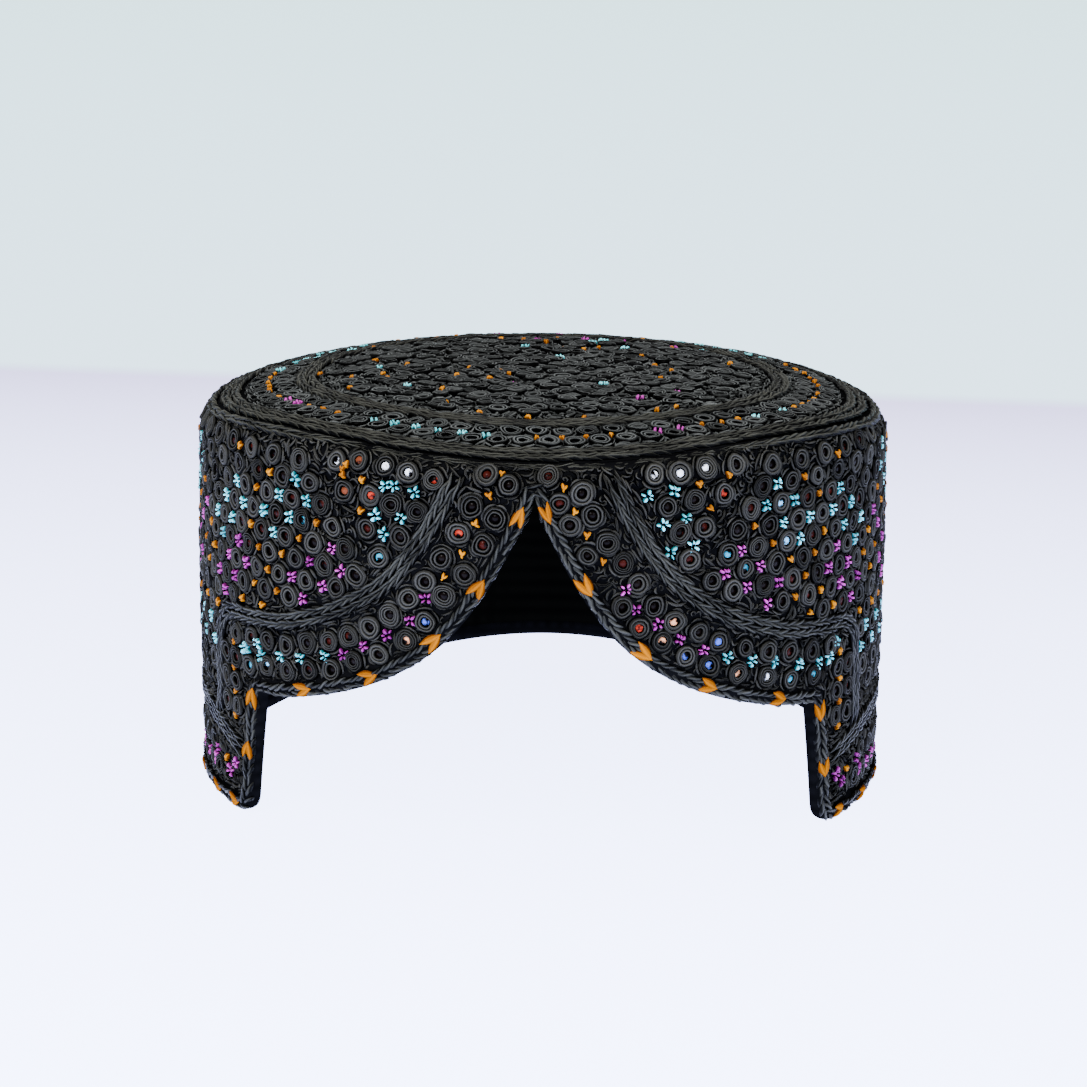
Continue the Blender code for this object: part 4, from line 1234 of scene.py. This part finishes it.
braidMaker = braidTree("braid strand", braidLook, braidThread)
strandGap = 1.15
leftPanel = mirrored(panelLine)[::-1]
strands = {
    "panel_braid_right_upper": (strandSpots(panelLine, strandGap, 0.0), False, 1, braidLook),
    "panel_braid_right_lower": (strandSpots(panelLine, -strandGap, 0.0), False, 2, braidLook),
    "panel_braid_left_upper": (strandSpots(leftPanel, -strandGap, 0.0), False, 3, braidLook),
    "panel_braid_left_lower": (strandSpots(leftPanel, strandGap, 0.0), False, 4, braidLook),
    "hem_braid_upper": (strandSpots(hemWhole, strandGap, 0.0), False, 5, braidLook),
    "hem_braid_lower": (strandSpots(hemWhole, -strandGap, 0.0), False, 6, braidLook),
    "back_seam_braid": (strandSpots(backSeamLine, 0.0, 0.0), False, 7, braidLook),
    "crown_edge_braid": (circleSpots(87.0, -0.1), True, 8, edgeLook),
    "shoulder_braid": (shoulderSpots(-0.1), True, 9, edgeLook),
    "crown_inner_braid_outer": (circleSpots(66.4, 0.0), True, 10, edgeLook),
    "crown_inner_braid_inner": (circleSpots(63.6, 0.0), True, 11, edgeLook),
}
for name, (spots, closed, seed, look) in strands.items():
    piece = growBraid(name + "_plait", spots, closed, braidMaker, dict(look, Seed=seed))
    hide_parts(name)
growBraid("crown_rim_strand", circleSpots(84.2, 0.0), True, braidMaker, dict(edgeLook, Seed=12))
print("braids done")

# Binding: a rounded core folded over the edge, plaited on its outer face

# corners of each core: how far across, and how far out from the cloth in millimetres;
# across is a share of the binding's width, or millimetres up from the shoulder seam
bindingSection = [(0.45, -3.0), (0.04, -2.6), (-0.02, -1.6), (-0.02, -0.6), (0.04, 0.4), (0.2, 1.0),
                  (0.5, 1.2), (0.8, 0.9), (1.0, 0.3), (1.25, -0.2), (1.25, -3.0)]
shoulderSection = [(-4.5, -1.6), (-4.5, -0.4), (-3.0, -0.15), (-1.5, -0.1), (0.0, -0.15),
                   (1.5, -0.4), (1.5, -1.6)]


def foldedCore(name, section, placed):
    # a closed band with this section; placed gives the ring of points for a corner
    rows = [placed(across, out)["co"] for across, out in section]
    size, count = len(section), len(rows[0])
    verts = np.stack(rows, 1).reshape(-1, 3)
    faces = []
    for i in range(count):
        ahead = (i + 1) % count
        for k in range(size):
            after = (k + 1) % size
            faces.append((i * size + k, i * size + after, ahead * size + after, ahead * size + k))
    mesh = bpy.data.meshes.new(name)
    mesh.from_pydata(verts.tolist(), [], faces)
    for polygon in mesh.polygons:
        polygon.use_smooth = True
    mesh.materials.append(groundCloth)
    piece = bpy.data.objects.new(name, mesh)
    bpy.context.scene.collection.objects.link(piece)
    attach(piece, "root")
    return piece


def bindingPlace(across, out, headings=None):
    moved = outlineSpots[:-1] + outlineInto[:-1] * (outlineWidth[:-1] * across)[:, None]
    return wallSpots(moved[:, 0], moved[:, 1], out, headings)


def shoulderPlace(across, out):
    return wallSpots(turnRounds, seamLength(turnRounds) + across, out)


core = foldedCore("binding_core", bindingSection, bindingPlace)
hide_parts("binding_arch", "binding_flap_left", "binding_flap_right", "binding_back")
# cloth band under the shoulder braid, joining the wall to the crown
foldedCore("shoulder_core", shoulderSection, shoulderPlace)
bindingLook = {"Pitch": 2.7 * mm, "Lobe Length": 5.4 * mm, "Lobe Width": 1.4 * mm, "Lobe Height": 0.95 * mm,
               "Lane Offset": 0.8 * mm, "Tilt": 15.0, "Unevenness": 1.1 * mm, "Seed": 41}


def bindingSpots(share, out, lean):
    spots = bindingPlace(share, out, outlineInto[:-1])
    tip = math.radians(lean)
    spots["facing"] = spots["facing"] * math.cos(tip) - spots["heading"] * math.sin(tip)
    return spots


growBraid("binding_plait", bindingSpots(0.5, 0.75, 14.0), True,
          braidTree("binding plait", bindingLook, braidThread), bindingLook)

# Chevrons on the binding: two orange leaves each, all running the same way. Those in
# front are listed, and the rest follow at an even pitch.
chevronPitch = 19.0
chevronPlaces = [(-110, 4.5), (-97, 2.5), (-88.8, 18.1), (-86.6, 34.4), (-63.8, 40.7), (-42.7, 46.6),
                 (-25.4, 58.6), (-13.1, 73.6), (-4.5, 92.4), (2.8, 92.9), (12.2, 74.1), (27.9, 57.1),
                 (46.5, 46.4), (68.4, 40.3), (86.6, 33.1), (89.4, 15.9), (98.0, 3.0), (115.0, 3.0)]
chevronLook = {"Leaf Length": 6.2 * mm, "Leaf Width": 2.35 * mm, "Leaf Height": 0.7 * mm,
               "Leaf Gap": 0.8 * mm, "Unevenness": 0.4 * mm}


def chevronTree(finish):
    tree, given = newTree("chevron", chevronLook)
    line = stitchLine(tree, given["Leaf Length"], 0.0, 6)
    leaf = threadShape(tree, line, given["Leaf Width"], given["Leaf Height"], 1.0, 0.03, 0.95)
    parts = []
    for side in (1.0, -1.0):
        offset = addNode(tree, "ShaderNodeMath", {0: given["Leaf Gap"], 1: side}, operation="MULTIPLY")
        shift = addNode(tree, "ShaderNodeCombineXYZ", {"Y": offset})
        turned = addNode(tree, "GeometryNodeTransform", {
            "Geometry": leaf, "Rotation": (0.0, 0.0, -0.3 * side), "Translation": shift})
        parts.append(turned.outputs[0])
    shapes = [addNode(tree, "GeometryNodeJoinGeometry", {"Geometry": parts}).outputs[0]]
    return endTree(tree, plantStitches(tree, given["Geometry"], shapes), finish, given["Unevenness"])


def chevronSpots(seed):
    chance = np.random.default_rng(seed)
    near = nearIndex(outlineSpots)
    indexes = [near.find((s, z, 0.0))[1] for s, z in chevronPlaces]
    gap = round(chevronPitch / outlineStep)
    first, last = indexes[0] - gap, indexes[-1] + gap
    while first > 4:
        indexes.append(first)
        first -= gap
    while last < len(outlineSpots) - 6:
        indexes.append(last)
        last += gap
    base = bindingSpots(0.5, 1.4, 12.0)
    spots = picked(base, indexes)
    ahead = picked(base, [(i + 1) % len(base["co"]) for i in indexes])
    spots["heading"] = ahead["co"] - spots["co"]
    spots["heading"] /= np.linalg.norm(spots["heading"], axis=1)[:, None]
    width = outlineWidth[indexes] / shell["bindWidth"]
    length = chance.uniform(0.92, 1.08, len(indexes))
    spots.update(size=np.stack([length, 0.55 + 0.45 * width, np.ones(len(indexes))], -1),
                 variant=np.zeros(len(indexes), int), shade=chance.uniform(0.4, 1.0, len(indexes)))
    return spots


growPiece("binding_chevrons", chevronSpots(43), chevronTree(chevronSilkPaintedShade), chevronLook)
print("binding done")

# Cloth and lining keep their own solids
for name in ("crown_panel", "wall_front_left", "wall_front_right", "wall_back_left", "wall_back_right"):
    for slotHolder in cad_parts[name].material_slots:
        slotHolder.material = groundCloth
for name in ("crown_lining", "wall_lining"):
    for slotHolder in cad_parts[name].material_slots:
        slotHolder.material = liningCloth

# Floor, light and camera

# the floor's glow is painted light, lighter near the cap and falling off with distance
stageLook = {"size": 8.0, "front": -0.3, "horizon": 0.536, "softness": 0.012, "back": 3.0, "near": "#c6d2ff",
             "far": "#6a6784", "beyond": "#71848f", "top": "#6a7f84", "paper": "#555559", "paintedGlow": 12.0,
             "world": "#e9edf2", "worldStrength": 1.0}


def makeFloor():
    # one sheet of paper that glows with painted light: bright near the cap and darker with distance, with a
    # change of tone at the horizon
    half = stageLook["size"] / 2
    mesh = bpy.data.meshes.new("floor")
    corners = [(-half, -half, 0), (half, -half, 0), (half, half, 0), (-half, half, 0)]
    mesh.from_pydata(corners, [], [(0, 1, 2, 3)])
    made, tree, shader = newMaterial("pale studio paper with painted glow", {
        "Base Color": linear(stageLook["paper"]), "Roughness": 0.9, "Specular IOR Level": 0.0,
        "Emission Strength": stageLook["paintedGlow"]})
    place = addNode(tree, "ShaderNodeTexCoord")
    split = addNode(tree, "ShaderNodeSeparateXYZ", {"Vector": place.outputs["Object"]})
    slant = addNode(tree, "ShaderNodeMath", {
        0: split.outputs["X"], 1: 0.1, 2: split.outputs["Y"]}, operation="MULTIPLY_ADD")
    paintedFalloff = addNode(tree, "ShaderNodeMapRange", {
        "Value": slant, "From Min": stageLook["front"], "From Max": stageLook["horizon"]})
    edge = addNode(tree, "ShaderNodeMapRange", {
        "Value": slant, "From Min": stageLook["horizon"] - stageLook["softness"],
        "From Max": stageLook["horizon"] + stageLook["softness"]})
    climb = addNode(tree, "ShaderNodeMapRange", {
        "Value": slant, "From Min": stageLook["horizon"], "From Max": stageLook["back"]})
    floor = addNode(tree, "ShaderNodeMix", {
        "Factor": paintedFalloff, "A": linear(stageLook["near"]), "B": linear(stageLook["far"])}, data_type="RGBA")
    wall = addNode(tree, "ShaderNodeMix", {
        "Factor": climb, "A": linear(stageLook["beyond"]), "B": linear(stageLook["top"])}, data_type="RGBA")
    whole = addNode(tree, "ShaderNodeMix", {
        "Factor": edge, "A": floor.outputs["Result"], "B": wall.outputs["Result"]}, data_type="RGBA")
    tree.links.new(whole.outputs["Result"], shader.inputs["Emission Color"])
    mesh.materials.append(made)
    floorPiece = bpy.data.objects.new("floor", mesh)
    bpy.context.scene.collection.objects.link(floorPiece)


def addLight(name, place, target, size, power, color):
    light = bpy.data.lights.new(name, "AREA")
    light.shape, light.size, light.energy, light.color = "DISK", size, power, linear(color)[:3]
    thing = bpy.data.objects.new(name, light)
    bpy.context.scene.collection.objects.link(thing)
    thing.location = place
    thing.rotation_euler = (Vector(target) - Vector(place)).to_track_quat("-Z", "Y").to_euler()


def makeCamera():
    form = {"elevation": 13.46, "distance": 0.850, "yaw": 1.3, "target": 0.0735, "roll": 0.61,
            "focal": 3056.51, "middle": (542.4, 503.06), "image": 1087.0, "sensor": 36.0}
    e, yaw = math.radians(form["elevation"]), math.radians(form["yaw"])
    reach = form["distance"] * math.cos(e)
    place = Vector((reach * math.sin(yaw), -reach * math.cos(yaw),
                    form["target"] + form["distance"] * math.sin(e)))
    look = (Vector((0, 0, form["target"])) - place).normalized()
    right = look.cross(Vector((0, 0, 1))).normalized()
    camera = bpy.data.cameras.new("camera")
    thing = bpy.data.objects.new("camera", camera)
    bpy.context.scene.collection.objects.link(thing)
    aim = Matrix((right, right.cross(look), -look)).transposed().to_4x4()
    thing.matrix_world = Matrix.Translation(place) @ aim @ Matrix.Rotation(math.radians(form["roll"]), 4, "Z")
    camera.sensor_width = form["sensor"]
    camera.lens = form["focal"] * form["sensor"] / form["image"]
    camera.shift_x = -(form["middle"][0] - form["image"] / 2) / form["image"]
    camera.shift_y = (form["middle"][1] - form["image"] / 2) / form["image"]
    camera.clip_start = 0.01
    bpy.context.scene.camera = thing


makeFloor()
makeCamera()
addLight("key", (-0.40, -0.70, 0.95), (0, 0, 0.07), 0.4, 34.0, "#ffffff")
addLight("fill", (0.75, -0.6, 0.55), (0, 0, 0.06), 0.6, 9.0, "#eef3ff")
addLight("top", (0.1, 0.1, 0.95), (0, 0, 0.1), 0.7, 9.0, "#ffffff")
world = bpy.context.scene.world or bpy.data.worlds.new("studio")
bpy.context.scene.world = world
world.use_nodes = True
background = world.node_tree.nodes.get("Background") or world.node_tree.nodes.new("ShaderNodeBackground")
background.inputs["Color"].default_value = linear(stageLook["world"])
background.inputs["Strength"].default_value = stageLook["worldStrength"]
print("stage set;", "triangles:", pieceCounts, "in all", sum(pieceCounts.values()))

bpy.context.view_layer.update()
